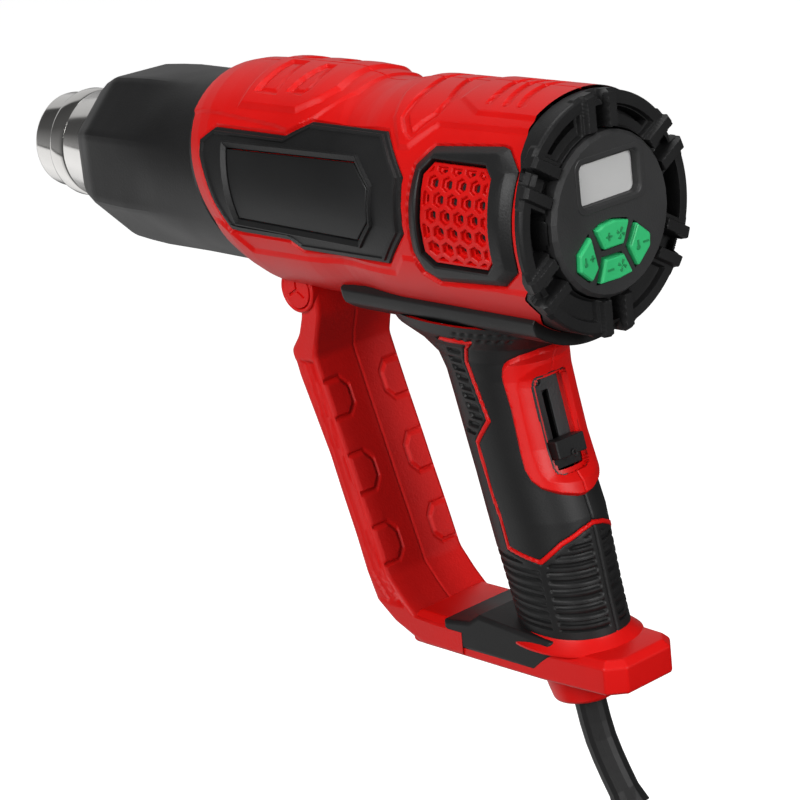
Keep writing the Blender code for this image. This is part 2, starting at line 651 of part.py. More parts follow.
def console():
    """The display's face with its window and button openings, hollow behind."""
    disc = loft("control_console", [
        ring(-33.0, DISC_R - 0.4), ring(DISC_X + 1.4, DISC_R - 0.4), ring(DISC_X, DISC_R - 1.6)])
    combine(disc, rod_of("tool", [(-43.4, DISC_R - 1.8, 0.0), (-20.0, DISC_R - 1.8, 0.0)]))
    combine(disc, block("tool", (-60, -SCREEN_Y, SCREEN_LOW), (-30, SCREEN_Y, SCREEN_HIGH)))
    for name, outline in BUTTONS.items():
        combine(disc, button_tool("tool", grown(outline, 0.5), -60.0, -30.0))
    paint(disc, "black_shell")
    smooth(disc)
    block("display_lens", (DISC_X + 2.9, -SCREEN_Y - 0.8, SCREEN_LOW - 0.8),
          (DISC_X + 4.3, SCREEN_Y + 0.8, SCREEN_HIGH + 0.8), "display_glass")
    block("display_module", (-40.9, -13.9, SCREEN_LOW - 0.8), (-37.4, 13.9, SCREEN_HIGH + 0.6), "white_plastic")
    board = block("control_board", (-36.4, -14.5, 80.0), (-34.8, 14.5, 116.0), "circuit_board")
    for y, z in ((0.0, 94.4), (0.0, 82.2), (13.4, 88.2), (-11.6, 88.4)):
        combine(board, block("tact", (-38.6, y - 2.2, z - 2.2), (-35.6, y + 2.2, z + 2.2)), "UNION")
    paint(board, "circuit_board")


# outlines of the four keys, as seen from behind: y and z
BUTTONS = {
    "button_fan_up": [(9.0, 95.0), (6.1, 96.2), (1.0, 96.6), (-5.6, 95.2), (-2.4, 88.2), (6.0, 88.3)],
    "button_fan_down": [(6.3, 85.5), (-2.1, 85.3), (-5.5, 78.7), (0.6, 78.0), (9.2, 78.3)],
    "button_temperature_up": [(11.8, 93.8), (17.3, 89.2), (17.5, 84.0), (12.6, 79.9), (9.5, 83.5)],
    "button_temperature_down": [(-9.0, 93.4), (-14.5, 88.8), (-14.0, 84.5), (-8.3, 79.7), (-5.0, 86.7)],
}


def button_tool(name, outline, x0, x1, slot="green_rubber", origin=(0.0, 0.0, 0.0)):
    return loft(name, [[(x, y, z) for y, z in outline] for x in (x0, x1)], slot, origin=origin)


def buttons():
    for name, outline in BUTTONS.items():
        y = sum(p[0] for p in outline) / len(outline)
        z = sum(p[1] for p in outline) / len(outline)
        top = [(y + 0.90 * (p[0] - y), z + 0.90 * (p[1] - z)) for p in outline]
        loft(name, [
            [(DISC_X - 1.7, a, b) for a, b in top], [(DISC_X - 1.1, a, b) for a, b in outline],
            [(-41.8, a, b) for a, b in outline]], "green_rubber", origin=(DISC_X, y, z))


# ---- collar and steel tubes ---------------------------------------------------------
def facet_ring(x, radius, facets, lean=0.0):
    """A ring that is partly an octagon: facets runs from 0 for round to 1."""
    points = []
    for k in range(SEGMENTS):
        angle = 360.0 * (k + 0.5) / SEGMENTS
        off = radians((angle + 22.5) % 45.0 - 22.5)
        flat = 0.965 / cos(off)
        r = radius * (1.0 + facets * (flat - 1.0))
        points.append(around(x + lean * r * cos(radians(angle)), angle, r))
    return points


def collar():
    inner = TUBE_R + GAP
    rings = [
        facet_ring(JOINT_X + GAP, 32.8, 0.0, LEAN), facet_ring(140.0, 31.7, 0.3, 0.1),
        facet_ring(160.0, 31.2, 0.9), facet_ring(179.0, 30.0, 1.0), facet_ring(186.0, 27.0, 1.0),
        facet_ring(COLLAR_FRONT_X - 0.6, 23.4, 1.0), facet_ring(COLLAR_FRONT_X, 22.2, 1.0),
        ring(COLLAR_FRONT_X, inner), ring(COLLAR_FRONT_X - 14.0, inner), ring(176.0, 26.0),
        ring(136.0, 28.6, lean=0.1), ring(JOINT_X + GAP, 29.8, lean=LEAN)]
    thing = loft("front_collar", rings, "black_shell", closed=True)
    paint(thing, "black_shell")
    smooth(thing)


def steel_tubes():
    turned("nozzle_tube", [
        (104.0, TUBE_R - 0.8), (104.0, TUBE_R), (TUBE_END_X - 0.5, TUBE_R), (TUBE_END_X, TUBE_R - 0.5),
        (TUBE_END_X, OUTLET_R + GAP), (TUBE_END_X - 0.8, OUTLET_R + GAP),
        (TUBE_END_X - 0.8, TUBE_R - 0.8)], "polished_steel")
    turned("outlet_tube", [
        (100.0, 16.6), (100.0, OUTLET_R), (OUTLET_END_X - 0.5, OUTLET_R), (OUTLET_END_X, OUTLET_R - 0.4),
        (OUTLET_END_X, 16.9), (OUTLET_END_X - 0.6, 16.6)], "polished_steel")
    turned("mica_tube", [(102.0, 15.6), (102.0, 16.1), (208.0, 16.1), (208.0, 15.6)], "mica", 32)


# ---- heater, motor and fan ----------------------------------------------------------
def heater():
    core = []
    for k in range(8):
        angle = 45.0 * k
        core.append((11.0 if k % 2 == 0 else 3.4, angle))
    rings = [[around(x, angle, r) for r, angle in core] for x in (104.0, 204.0)]
    loft("heater_core", rings, "ceramic")
    wire = bpy.data.curves.new("heater_coil", "CURVE")
    wire.dimensions = "3D"
    wire.bevel_depth = 0.55 * MM
    wire.bevel_resolution = 0
    wire.use_fill_caps = True
    turns, steps = 8, 8
    line = wire.splines.new("POLY")
    line.points.add(turns * steps)
    for k in range(turns * steps + 1):
        x, y, z = around(108.0 + 92.0 * k / (turns * steps), 360.0 * k / steps, 13.4)
        line.points[k].co = (x * MM, y * MM, z * MM, 1.0)
    thing = bpy.data.objects.new("heater_coil", wire)
    wire.materials.append(material("heater_wire"))
    bpy.context.scene.collection.objects.link(thing)
    flange = turned("heater_flange", [
        (92.0, 16.0), (92.0, 31.0), (98.6, 31.0), (98.6, 16.0)], "ceramic", 32)
    smooth(flange)


def motor():
    can = turned("motor_body", [(-20.0, 1.9), (-20.0, 17.0), (16.0, 17.0), (16.0, 1.9)], "zinc_steel", 28)
    smooth(can)
    holder = turned("motor_mount", [
        (-12.0, 17.4), (-12.0, 31.8), (-8.0, 31.8), (-8.0, 17.4)], "black_shell", 32)
    for k in range(6):
        combine(holder, radial_block(60.0 * k + 30.0, -16.0, -4.0, 20.4, 29.4, 8.0))
    paint(holder, "black_shell")
    axis = (0.0, 0.0, AXIS_Z)
    fan = rod("fan_rotor", [(-16.0, 1.5), (18.5, 1.5), (18.6, 9.0), (30.0, 9.0), (32.0, 6.0)],
              "black_shell", 24, origin=axis)
    for k in range(9):
        combine(fan, blade(40.0 * k), "UNION")
    paint(fan, "black_shell")


def blade(angle):
    """One pitched blade of the impeller, from inside the hub to its tip."""
    sections = []
    for radius, twist in ((7.0, 4.6), (30.0, 3.2)):
        half = degrees(twist / radius)
        spot = degrees(0.8 / radius)
        sections.append([
            around(19.6, angle - half, radius), around(28.6, angle + half, radius),
            around(28.6, angle + half + spot, radius), around(19.6, angle - half + spot, radius)])
    return loft("blade", sections)


# ---- cord ---------------------------------------------------------------------------
def smooth_path(points, step):
    """Points about every step along a Catmull-Rom curve through the given ones."""
    points = [Vector(p) for p in points]
    ends = [points[0] * 2 - points[1]] + points + [points[-1] * 2 - points[-2]]
    dense = []
    for i in range(1, len(ends) - 2):
        a, b, c, d = ends[i - 1:i + 3]
        for k in range(24):
            t = k / 24
            dense.append(0.5 * (
                2 * b + (c - a) * t + (2 * a - 5 * b + 4 * c - d) * t * t
                + (3 * b - a - 3 * c + d) * t ** 3))
    dense.append(points[-1])
    total = sum((q - p).length for p, q in zip(dense, dense[1:]))
    count = max(2, round(total / step))
    result, travelled, target = [dense[0]], 0.0, total / count
    for p, q in zip(dense, dense[1:]):
        length = (q - p).length
        while travelled + length >= target - 1e-9 and len(result) < count:
            result.append(p.lerp(q, (target - travelled) / length))
            target += total / count
        travelled += length
    result.append(dense[-1])
    return result


def tube(name, points, radius, slot="black_rubber"):
    curve = bpy.data.curves.new(name, "CURVE")
    curve.dimensions = "3D"
    curve.bevel_depth = radius * MM
    curve.bevel_resolution = 2
    curve.use_fill_caps = True
    line = curve.splines.new("POLY")
    line.points.add(len(points) - 1)
    for spot, p in zip(line.points, points):
        spot.co = (p[0] * MM, p[1] * MM, p[2] * MM, 1.0)
    thing = bpy.data.objects.new(name, curve)
    curve.materials.append(material(slot))
    bpy.context.scene.collection.objects.link(thing)
    return thing


def sleeve():
    """The bend protector: a rubber sleeve with a rounded lip at its end."""
    path = smooth_path([(x, 0.0, z) for x, z in SLEEVE_PATH], 6.0)
    rings = []
    last = len(path) - 1
    for k, p in enumerate(path):
        before, after = path[max(0, k - 1)], path[min(last, k + 1)]
        along = (after - before).normalized()
        side = Vector((0.0, 1.0, 0.0))
        out = along.cross(side)
        r = SLEEVE_R + (1.1 if k == last else 0.0)
        rings.append([tuple(p + side * r * cos(2 * pi * j / 16) + out * r * sin(2 * pi * j / 16)) for j in range(16)])
    thing = loft("cord_sleeve", rings, "black_rubber")
    smooth(thing)


def cord():
    tube("cord_run", smooth_path(RUN_PATH, 2.2 * CORD_D), CORD_D / 2)
    tube("cord_tail", smooth_path(TAIL_PATH, 2.2 * CORD_D), CORD_D / 2)
    sections = []
    for k in range(24):
        a = 2 * pi * (k + 0.5) / 24
        sections.append([
            (COIL_CENTRE[0] + (COIL_R + COIL_TUBE_R * cos(b)) * cos(a), COIL_TUBE_R * sin(b),
             COIL_CENTRE[1] + (COIL_R + COIL_TUBE_R * cos(b)) * sin(a))
            for b in (2 * pi * (j + 0.5) / 8 for j in range(8))])
    smooth(loft("cord_coil", sections, "black_rubber", closed=True), 60.0)
    tie = []
    for k in range(12):
        a = 2 * pi * (k + 0.5) / 12
        tie.append([
            (COIL_CENTRE[0] + z, y, COIL_CENTRE[1] + COIL_R + x)
            for x, y, z in (
                (r * cos(a), r * sin(a), z) for r, z in (
                    (COIL_TUBE_R + 1.6, -5.0), (COIL_TUBE_R + 2.8, -5.0),
                    (COIL_TUBE_R + 2.8, 5.0), (COIL_TUBE_R + 1.6, 5.0)))])
    smooth(loft("coil_tie", tie, "black_rubber", closed=True), 60.0)


def plug():
    x, y = TAIL_PATH[-1][:2]
    body = loft("plug_body", [
        [(x + rx * cos(2 * pi * k / 20), y + ry * sin(2 * pi * k / 20), z) for k in range(20)]
        for z, rx, ry in (
            (PLUG_TOP, 4.6, 4.6), (PLUG_TOP - 12, 5.6, 5.4), (PLUG_TOP - 16, 11.0, 7.6),
            (PLUG_TOP - 34, 17.0, 8.6), (PLUG_TOP - 38, 17.6, 9.0), (PLUG_TOP - 42, 17.6, 9.0))], "black_rubber")
    smooth(body)
    for side, name in ((-1, "plug_pin_1"), (1, "plug_pin_2")):
        pin = cylinder(name, (x + side * 9.5, y, PLUG_TOP - 42 - GAP), (x + side * 9.5, y, PLUG_TOP - 61), 2.0, "plated_brass", 12)
        smooth(pin)


def cord_clamp():
    """The strap that grips the cord inside the foot."""
    block("cord_clamp", (-20.0, -6.6, -37.0), (-7.0, 6.6, -33.6), "white_plastic")


def build():
    for thing in list(bpy.data.objects):
        bpy.data.objects.remove(thing)
    housing()
    screws()
    side_inserts()
    boss_caps()
    grip_covers()
    switch()
    rear_cap()
    console()
    buttons()
    collar()
    steel_tubes()
    heater()
    motor()
    sleeve()
    cord_clamp()
    cord()
    plug()


build()
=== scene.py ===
"""Looks for the hot-air gun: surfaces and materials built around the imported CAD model.

Lengths in this file are millimetres unless a name says otherwise, and meshes are made in
metres. The barrel's surface is described by x and by the angle round its axis, from the top
towards the left side; the right side repeats the left.
"""

from math import cos, sin, radians, pi, sqrt

import bmesh
import bpy
import numpy as np
from mathutils import Matrix, Vector


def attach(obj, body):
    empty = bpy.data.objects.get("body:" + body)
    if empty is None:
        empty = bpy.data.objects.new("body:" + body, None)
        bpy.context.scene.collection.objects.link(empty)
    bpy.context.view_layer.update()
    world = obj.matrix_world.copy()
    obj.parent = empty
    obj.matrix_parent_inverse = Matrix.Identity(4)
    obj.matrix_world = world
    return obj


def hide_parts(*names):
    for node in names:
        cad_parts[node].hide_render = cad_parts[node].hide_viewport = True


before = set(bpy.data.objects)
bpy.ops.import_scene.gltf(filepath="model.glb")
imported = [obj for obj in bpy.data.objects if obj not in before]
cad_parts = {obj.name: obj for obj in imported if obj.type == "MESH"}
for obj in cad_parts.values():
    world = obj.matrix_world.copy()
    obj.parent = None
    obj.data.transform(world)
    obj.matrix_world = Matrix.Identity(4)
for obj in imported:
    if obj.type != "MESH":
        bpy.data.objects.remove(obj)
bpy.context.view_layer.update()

MM = 0.001
AXIS_Z = 98.0
ARC = 0.672            # mm of side outline per degree round the barrel
SIDE_ANGLE = 82.0      # the angle on which the side outlines are centred
LEAN = 0.36            # forward lean of the collar's joint
BODY = "gun"


# ---- camera, light and floor --------------------------------------------------------
def camera():
    heading, pitch, roll = radians(-41.863), radians(-17.350), radians(-6.143)
    lens = bpy.data.cameras.new("camera")
    lens.sensor_width = 36.0
    lens.lens = 130.5
    lens.clip_end = 30.0
    thing = bpy.data.objects.new("camera", lens)
    thing.location = (-0.6387, 0.6264, 0.3148)
    # a camera looks along -Z, so it is tipped up from straight down before it is turned
    turn = Matrix.Rotation(heading - pi / 2, 3, "Z") @ Matrix.Rotation(pi / 2 + pitch, 3, "X")
    thing.rotation_euler = (turn @ Matrix.Rotation(roll, 3, "Z")).to_euler()
    bpy.context.scene.collection.objects.link(thing)
    bpy.context.scene.camera = thing


def area_light(name, place, aim, size, power):
    light = bpy.data.lights.new(name, "AREA")
    light.energy = power
    light.size = size
    thing = bpy.data.objects.new(name, light)
    thing.location = place
    thing.rotation_euler = (Vector(aim) - Vector(place)).to_track_quat("-Z", "Y").to_euler()
    bpy.context.scene.collection.objects.link(thing)


def studio():
    """Area lights, and a world of light and dark bands round +x for the steel to reflect.

    The camera itself sees plain white in place of the bands.
    """
    world = bpy.data.worlds.new("studio")
    bpy.context.scene.world = world
    world.use_nodes = True
    nodes, links = world.node_tree.nodes, world.node_tree.links
    sky = nodes["Background"]
    place = nodes.new("ShaderNodeTexCoord")
    parts = nodes.new("ShaderNodeSeparateXYZ")
    turned_way = nodes.new("ShaderNodeCombineXYZ")
    wheel = nodes.new("ShaderNodeTexGradient")
    wheel.gradient_type = "RADIAL"
    bands = nodes.new("ShaderNodeValToRGB")
    stops = [
        (0.0, 0.3), (0.10, 0.1), (0.19, 0.8), (0.30, 1.0), (0.448, 0.9), (0.458, 0.03),
        (0.47, 0.28), (0.60, 0.08), (0.755, 0.05), (0.775, 0.5), (0.93, 0.6), (1.0, 0.3)]
    ramp = bands.color_ramp
    while len(ramp.elements) < len(stops):
        ramp.elements.new(0.5)
    for element, (at, value) in zip(ramp.elements, stops):
        element.position = at
        element.color = (value, value, value, 1.0)
    forward = nodes.new("ShaderNodeMapRange")
    forward.inputs["From Min"].default_value = 0.35
    forward.inputs["From Max"].default_value = 0.6
    mix = nodes.new("ShaderNodeMix")
    mix.data_type = "RGBA"
    mix.inputs[6].default_value = (0.07, 0.07, 0.07, 1.0)
    seen = nodes.new("ShaderNodeLightPath")
    shown = nodes.new("ShaderNodeMix")
    shown.data_type = "RGBA"
    shown.inputs[7].default_value = (1.0, 1.0, 1.0, 1.0)
    links.new(place.outputs["Generated"], parts.inputs[0])
    links.new(parts.outputs["Y"], turned_way.inputs["X"])
    links.new(parts.outputs["Z"], turned_way.inputs["Y"])
    links.new(turned_way.outputs[0], wheel.inputs["Vector"])
    links.new(wheel.outputs["Fac"], bands.inputs["Fac"])
    links.new(parts.outputs["X"], forward.inputs["Value"])
    links.new(forward.outputs["Result"], mix.inputs["Factor"])
    links.new(bands.outputs["Color"], mix.inputs[7])
    links.new(mix.outputs[2], shown.inputs[6])
    links.new(seen.outputs["Is Camera Ray"], shown.inputs["Factor"])
    links.new(shown.outputs[2], sky.inputs["Color"])
    area_light("key", (-0.2, 1.25, 0.85), (0.05, 0, 0.05), 0.8, 15.5)
    area_light("rear_fill", (-1.4, -0.15, 0.5), (-0.05, 0, 0.05), 0.6, 14.0)
    area_light("top", (0.05, -0.2, 1.3), (0.05, 0, 0.05), 0.7, 5.0)
    area_light("near_camera", (-0.9, 1.3, 0.05), (0.0, 0, 0.0), 0.5, 3.5)
    area_light("low_fill", (-0.2, 0.5, -0.9), (0.03, 0, 0.0), 0.6, 1.0)
    bpy.context.scene.view_settings.view_transform = "Standard"


def floor():
    mesh = bpy.data.meshes.new("floor")
    half = 14.0
    level = -0.330
    mesh.from_pydata([(-half, -half, level), (half, -half, level), (half, half, level), (-half, half, level)],
                     [], [(0, 1, 2, 3)])
    thing = bpy.data.objects.new("floor", mesh)
    bpy.context.scene.collection.objects.link(thing)
    paper = bpy.data.materials.new("paper")
    paper.use_nodes = True
    shader = paper.node_tree.nodes["Principled BSDF"]
    shader.inputs["Base Color"].default_value = (0.6, 0.6, 0.6, 1.0)
    shader.inputs["Roughness"].default_value = 0.9
    shader.inputs["Emission Color"].default_value = (1.0, 1.0, 1.0, 1.0)
    shader.inputs["Emission Strength"].default_value = 0.9
    mesh.materials.append(paper)
    thing.visible_diffuse = False
    thing.visible_glossy = False
    thing.visible_shadow = False


# ---- materials ----------------------------------------------------------------------
def plastic(name, colour, roughness, grain=0.3, grain_size=0.5, spread=0.06, specular=0.5, coat=0.0):
    """Moulded plastic: a fine grain in the bump, and faint unevenness in colour and gloss."""
    made = bpy.data.materials.new(name)
    made.use_nodes = True
    nodes, links = made.node_tree.nodes, made.node_tree.links
    shader = nodes["Principled BSDF"]
    place = nodes.new("ShaderNodeTexCoord")
    fine = nodes.new("ShaderNodeTexNoise")
    fine.inputs["Scale"].default_value = 1000.0 / grain_size
    fine.inputs["Detail"].default_value = 2.0
    broad = nodes.new("ShaderNodeTexNoise")
    broad.inputs["Scale"].default_value = 38.0
    broad.inputs["Detail"].default_value = 4.0
    links.new(place.outputs["Object"], fine.inputs["Vector"])
    links.new(place.outputs["Object"], broad.inputs["Vector"])
    tint = nodes.new("ShaderNodeValToRGB")
    tint.color_ramp.elements[0].position = 0.3
    tint.color_ramp.elements[1].position = 0.7
    tint.color_ramp.elements[0].color = (*[c * (1 - spread) for c in colour], 1.0)
    tint.color_ramp.elements[1].color = (*[min(1.0, c * (1 + spread)) for c in colour], 1.0)
    links.new(broad.outputs["Fac"], tint.inputs["Fac"])
    links.new(tint.outputs["Color"], shader.inputs["Base Color"])
    gloss = nodes.new("ShaderNodeMapRange")
    gloss.inputs["From Min"].default_value = 0.3
    gloss.inputs["From Max"].default_value = 0.7
    gloss.inputs["To Min"].default_value = roughness - 0.04
    gloss.inputs["To Max"].default_value = roughness + 0.05
    links.new(broad.outputs["Fac"], gloss.inputs["Value"])
    links.new(gloss.outputs["Result"], shader.inputs["Roughness"])
    bump = nodes.new("ShaderNodeBump")
    bump.inputs["Strength"].default_value = grain
    bump.inputs["Distance"].default_value = 0.00012
    links.new(fine.outputs["Fac"], bump.inputs["Height"])
    links.new(bump.outputs["Normal"], shader.inputs["Normal"])
    shader.inputs["Specular IOR Level"].default_value = specular
    shader.inputs["Coat Weight"].default_value = coat
    return made


def metal(name, colour, roughness, lines=0.0):
    """Bare metal, with faint turned lines running round the barrel where asked."""
    made = bpy.data.materials.new(name)
    made.use_nodes = True
    nodes, links = made.node_tree.nodes, made.node_tree.links
    shader = nodes["Principled BSDF"]
    shader.inputs["Base Color"].default_value = (*colour, 1.0)
    shader.inputs["Metallic"].default_value = 1.0
    place = nodes.new("ShaderNodeTexCoord")
    stretch = nodes.new("ShaderNodeMapping")
    stretch.inputs["Scale"].default_value = (2600.0, 40.0, 40.0)
    noise = nodes.new("ShaderNodeTexNoise")
    noise.inputs["Scale"].default_value = 1.0
    noise.inputs["Detail"].default_value = 3.0
    links.new(place.outputs["Object"], stretch.inputs["Vector"])
    links.new(stretch.outputs["Vector"], noise.inputs["Vector"])
    gloss = nodes.new("ShaderNodeMapRange")
    gloss.inputs["To Min"].default_value = roughness * 0.7
    gloss.inputs["To Max"].default_value = roughness * 1.4
    links.new(noise.outputs["Fac"], gloss.inputs["Value"])
    links.new(gloss.outputs["Result"], shader.inputs["Roughness"])
    bump = nodes.new("ShaderNodeBump")
    bump.inputs["Strength"].default_value = lines
    bump.inputs["Distance"].default_value = 0.00002
    links.new(noise.outputs["Fac"], bump.inputs["Height"])
    links.new(bump.outputs["Normal"], shader.inputs["Normal"])
    return made


MATERIALS = {
    "red_shell": plastic("red_plastic", (0.66, 0.0035, 0.0025), 0.40, 0.30, 0.55, specular=0.26),
    "red_grained": plastic("red_grained_plastic", (0.66, 0.0040, 0.0030), 0.50, 0.9, 0.8, specular=0.35),
    "black_shell": plastic("black_plastic", (0.0085, 0.0085, 0.0088), 0.46, 0.5, 0.7, 0.15, specular=0.38),
    "black_smooth": plastic("black_smooth_plastic", (0.0095, 0.0097, 0.0100),
                            0.42, 0.2, 0.5, 0.12, specular=0.35),
    "black_rubber": plastic("black_rubber", (0.0075, 0.0075, 0.0077), 0.50, 0.35, 0.6, 0.12, specular=0.36),
    "cord_rubber": plastic("cord_rubber", (0.0085, 0.0085, 0.0088), 0.45, 0.2, 0.6, 0.1),
    "switch_plate": plastic("grained_plate", (0.020, 0.020, 0.021), 0.55, 1.0, 0.8, 0.1),
    "green_rubber": plastic("green_key_rubber", (0.030, 0.50, 0.17), 0.42, 0.15, 0.5, 0.05),
    "green_dark": plastic("green_key_mark", (0.010, 0.23, 0.075), 0.5, 0.1, 0.5, 0.05),
    "display_glass": plastic("display_face", (0.56, 0.56, 0.555), 0.28, 0.0, 0.5, 0.03, coat=0.4),
    "polished_steel": metal("polished_steel", (0.80, 0.785, 0.765), 0.11, 0.02),
    "mica": plastic("mica", (0.42, 0.37, 0.28), 0.5, 0.3, 1.5, 0.2),
    "ceramic": plastic("ceramic", (0.72, 0.68, 0.60), 0.7, 0.3, 0.8, 0.1),
    "heater_wire": metal("heater_wire", (0.26, 0.24, 0.23), 0.35, 0.1),
    "circuit_board": plastic("circuit_board", (0.02, 0.16, 0.05), 0.4, 0.1, 0.6, 0.2),
    "zinc_steel": metal("zinc_steel", (0.50, 0.50, 0.51), 0.28, 0.1),
    "white_plastic": plastic("white_plastic", (0.70, 0.70, 0.68), 0.45, 0.2, 0.6, 0.03),
    "plated_brass": metal("plated_brass", (0.72, 0.69, 0.62), 0.18, 0.1),
    "console_black": plastic("console_plastic", (0.026, 0.026, 0.0265), 0.5, 0.5, 0.7, 0.15, specular=0.4),
    # near-black: the small raised marks on the switch, and also the painted shade sheet behind the vent grilles
    "mark": plastic("dark_mark_and_painted_shade", (0.004, 0.004, 0.004), 0.6, 0.1, 0.5, 0.02),
}


# ---- mesh helpers -------------------------------------------------------------------
def place_mesh(name, mesh, look, slot, body=BODY, hides=(), sharp=None):
    thing = bpy.data.objects.new(name, mesh)
    bpy.context.scene.collection.objects.link(thing)
    mesh.materials.append(MATERIALS[look])
    mesh.shade_smooth()
    if sharp:
        mesh.set_sharp_from_angle(angle=radians(sharp))
    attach(thing, body)
    if hides:
        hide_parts(*hides)
    return thing


def skin(name, points, look, slot, wrap_u=False, wrap_v=False, flip=False, keep=None, **more):
    """A grid of points (rows, columns, 3) in millimetres as one surface of quads."""
    nu, nv = points.shape[:2]
    index = np.arange(nu * nv).reshape(nu, nv)
    if wrap_u:
        index = np.vstack([index, index[:1]])
    if wrap_v:
        index = np.hstack([index, index[:, :1]])
    quads = np.stack([index[:-1, :-1], index[:-1, 1:], index[1:, 1:], index[1:, :-1]], axis=-1).reshape(-1, 4)
    if keep is not None:
        quads = quads[keep.reshape(-1)]
    if flip:
        quads = quads[:, ::-1]
    used, quads = np.unique(quads, return_inverse=True)
    quads = quads.reshape(-1, 4)
    mesh = bpy.data.meshes.new(name)
    mesh.vertices.add(len(used))
    mesh.vertices.foreach_set("co", (points.reshape(-1, 3)[used] * MM).astype(np.float32).ravel())
    mesh.loops.add(quads.size)
    mesh.loops.foreach_set("vertex_index", quads.astype(np.int32).ravel())
    mesh.polygons.add(len(quads))
    mesh.polygons.foreach_set("loop_start", np.arange(0, quads.size, 4, dtype=np.int32))
    mesh.update(calc_edges=True)
    mesh.validate()
    return place_mesh(name, mesh, look, slot, **more)


def normals_of(points, wrap_v):
    """Unit normals of a grid of points, by differences."""
    along = np.gradient(points, axis=0)
    if wrap_v:
        across = (np.roll(points, -1, axis=1) - np.roll(points, 1, axis=1)) / 2
    else:
        across = np.gradient(points, axis=1)
    n = np.cross(along, across)
    return n / np.maximum(np.linalg.norm(n, axis=-1, keepdims=True), 1e-9)


def polygon_distance(px, py, outline):
    """Signed distance from points to a polygon, negative inside."""
    best = np.full(px.shape, 1e9)
    inside = np.zeros(px.shape, bool)
    for (ax, ay), (bx, by) in zip(outline, outline[1:] + outline[:1]):
        best = np.minimum(best, segment_distance(px, py, (ax, ay), (bx, by)))
        if ay != by:
            crosses = (ay > py) != (by > py)
            inside ^= crosses & (px < (bx - ax) * (py - ay) / (by - ay) + ax)
    return np.where(inside, -best, best)


def segment_distance(px, py, a, b):
    dx, dy = b[0] - a[0], b[1] - a[1]
    t = np.clip(((px - a[0]) * dx + (py - a[1]) * dy) / max(dx * dx + dy * dy, 1e-9), 0, 1)
    return np.hypot(px - a[0] - t * dx, py - a[1] - t * dy)


def line_distance(px, py, points):
    best = np.full(px.shape, 1e9)
    for a, b in zip(points, points[1:]):
        best = np.minimum(best, segment_distance(px, py, a, b))
    return best


def within(distance, bevel):
    """1 well inside, 0 at the edge, with a straight bevel of that width between."""
    return np.clip(-distance / bevel, 0, 1)


def groove(distance, half, edge=0.5):
    """1 in the bottom of a groove of that half-width, 0 outside."""
    return np.clip((half + edge - distance) / edge, 0, 1)


def around(x, angle, radius):
    a = np.radians(angle)
    return np.stack(np.broadcast_arrays(x, radius * np.sin(a), AXIS_Z + radius * np.cos(a)), axis=-1)


def grown(outline, amount):
    """A polygon moved outwards by amount, with mitred corners."""
    area = sum(a[0] * b[1] - b[0] * a[1] for a, b in zip(outline, outline[1:] + outline[:1]))
    side = 1.0 if area > 0 else -1.0
    result = []
    for before, here, after in zip(outline[-1:] + outline[:-1], outline, outline[1:] + outline[:1]):
        first, second = Vector(here) - Vector(before), Vector(after) - Vector(here)
        n1 = Vector((first.y, -first.x)).normalized() * side
        n2 = Vector((second.y, -second.x)).normalized() * side
        mitre = (n1 + n2) / max(0.35, 1.0 + n1.dot(n2))
        result.append(tuple(Vector(here) + mitre * amount))
    return result


class Relief:
    """A flat piece in (u, v, height), built from loops, then bent into place."""

    def __init__(self):
        self.shape = bmesh.new()

    def loop(self, outline, height):
        return [self.shape.verts.new((u, v, height)) for u, v in outline]

    def bridge(self, first, second):
        n = len(first)
        for k in range(n):
            self.shape.faces.new((first[k], first[(k + 1) % n], second[(k + 1) % n], second[k]))

    def fill(self, loop):
        self.shape.faces.new(loop)

    def fill_between(self, *loops):
        edges = []
        for loop in loops:
            for a, b in zip(loop, loop[1:] + loop[:1]):
                edges.append(self.shape.edges.get((a, b)) or self.shape.edges.new((a, b)))
        bmesh.ops.triangle_fill(self.shape, use_beauty=True, use_dissolve=False, edges=edges)

    def rings(self, outline, levels):
        """Bridged rings at (inset, height) levels; returns the last."""
        last = None
        for inset, height in levels:
            here = self.loop(grown(outline, -inset), height)
            if last:
                self.bridge(last, here)
            last = here
        return last

    def mesh(self, name, bend, step=None):
        shape = self.shape
        if step:
            low = min(v.co.y for v in shape.verts)
            high = max(v.co.y for v in shape.verts)
            for k in range(1, int((high - low) / step) + 1):
                bmesh.ops.bisect_plane(
                    shape, geom=shape.verts[:] + shape.edges[:] + shape.faces[:], dist=1e-4,
                    plane_co=(0, low + k * step, 0), plane_no=(0, 1, 0))
        for vert in shape.verts:
            vert.co = Vector(bend(*vert.co)) * MM
        bmesh.ops.remove_doubles(shape, verts=shape.verts, dist=1e-7)
        bmesh.ops.recalc_face_normals(shape, faces=shape.faces)
        mesh = bpy.data.meshes.new(name)
        shape.to_mesh(mesh)
        shape.free()
        return mesh


def bent_left(u, v, h):
    return around(u, SIDE_ANGLE + v / ARC, h)


def bent_right(u, v, h):
    return around(u, -SIDE_ANGLE - v / ARC, h)


def outwards(mesh, centre):
    """Turn an open surface's faces away from a point given in millimetres."""
    middle = Vector(centre) * MM
    votes = sum((1 if (f.center - middle).dot(f.normal) > 0 else -1) * f.area for f in mesh.polygons)
    if votes < 0:
        mesh.flip_normals()
    return mesh


def both_sides(name, build, look, slot, hides, step=1.6, sharp=22.0):
    """A wrapped piece on the left and its mirror image on the right."""
    made = []
    for side, bend in (("left", bent_left), ("right", bent_right)):
        mesh = outwards(build().mesh(f"{name}_{side}", bend, step), (30.0, 0.0, AXIS_Z))
        made.append(place_mesh(f"{name}_{side}", mesh, look, slot, sharp=sharp,
                               hides=[f"{node}_{side}" for node in hides]))
    return made


def beveled(thing, width, segments=2, angle=28.0):
    step = thing.modifiers.new("bevel", "BEVEL")
    step.width = width * MM
    step.segments = segments
    step.limit_method = "ANGLE"
    step.angle_limit = radians(angle)
    step.harden_normals = True
    return thing


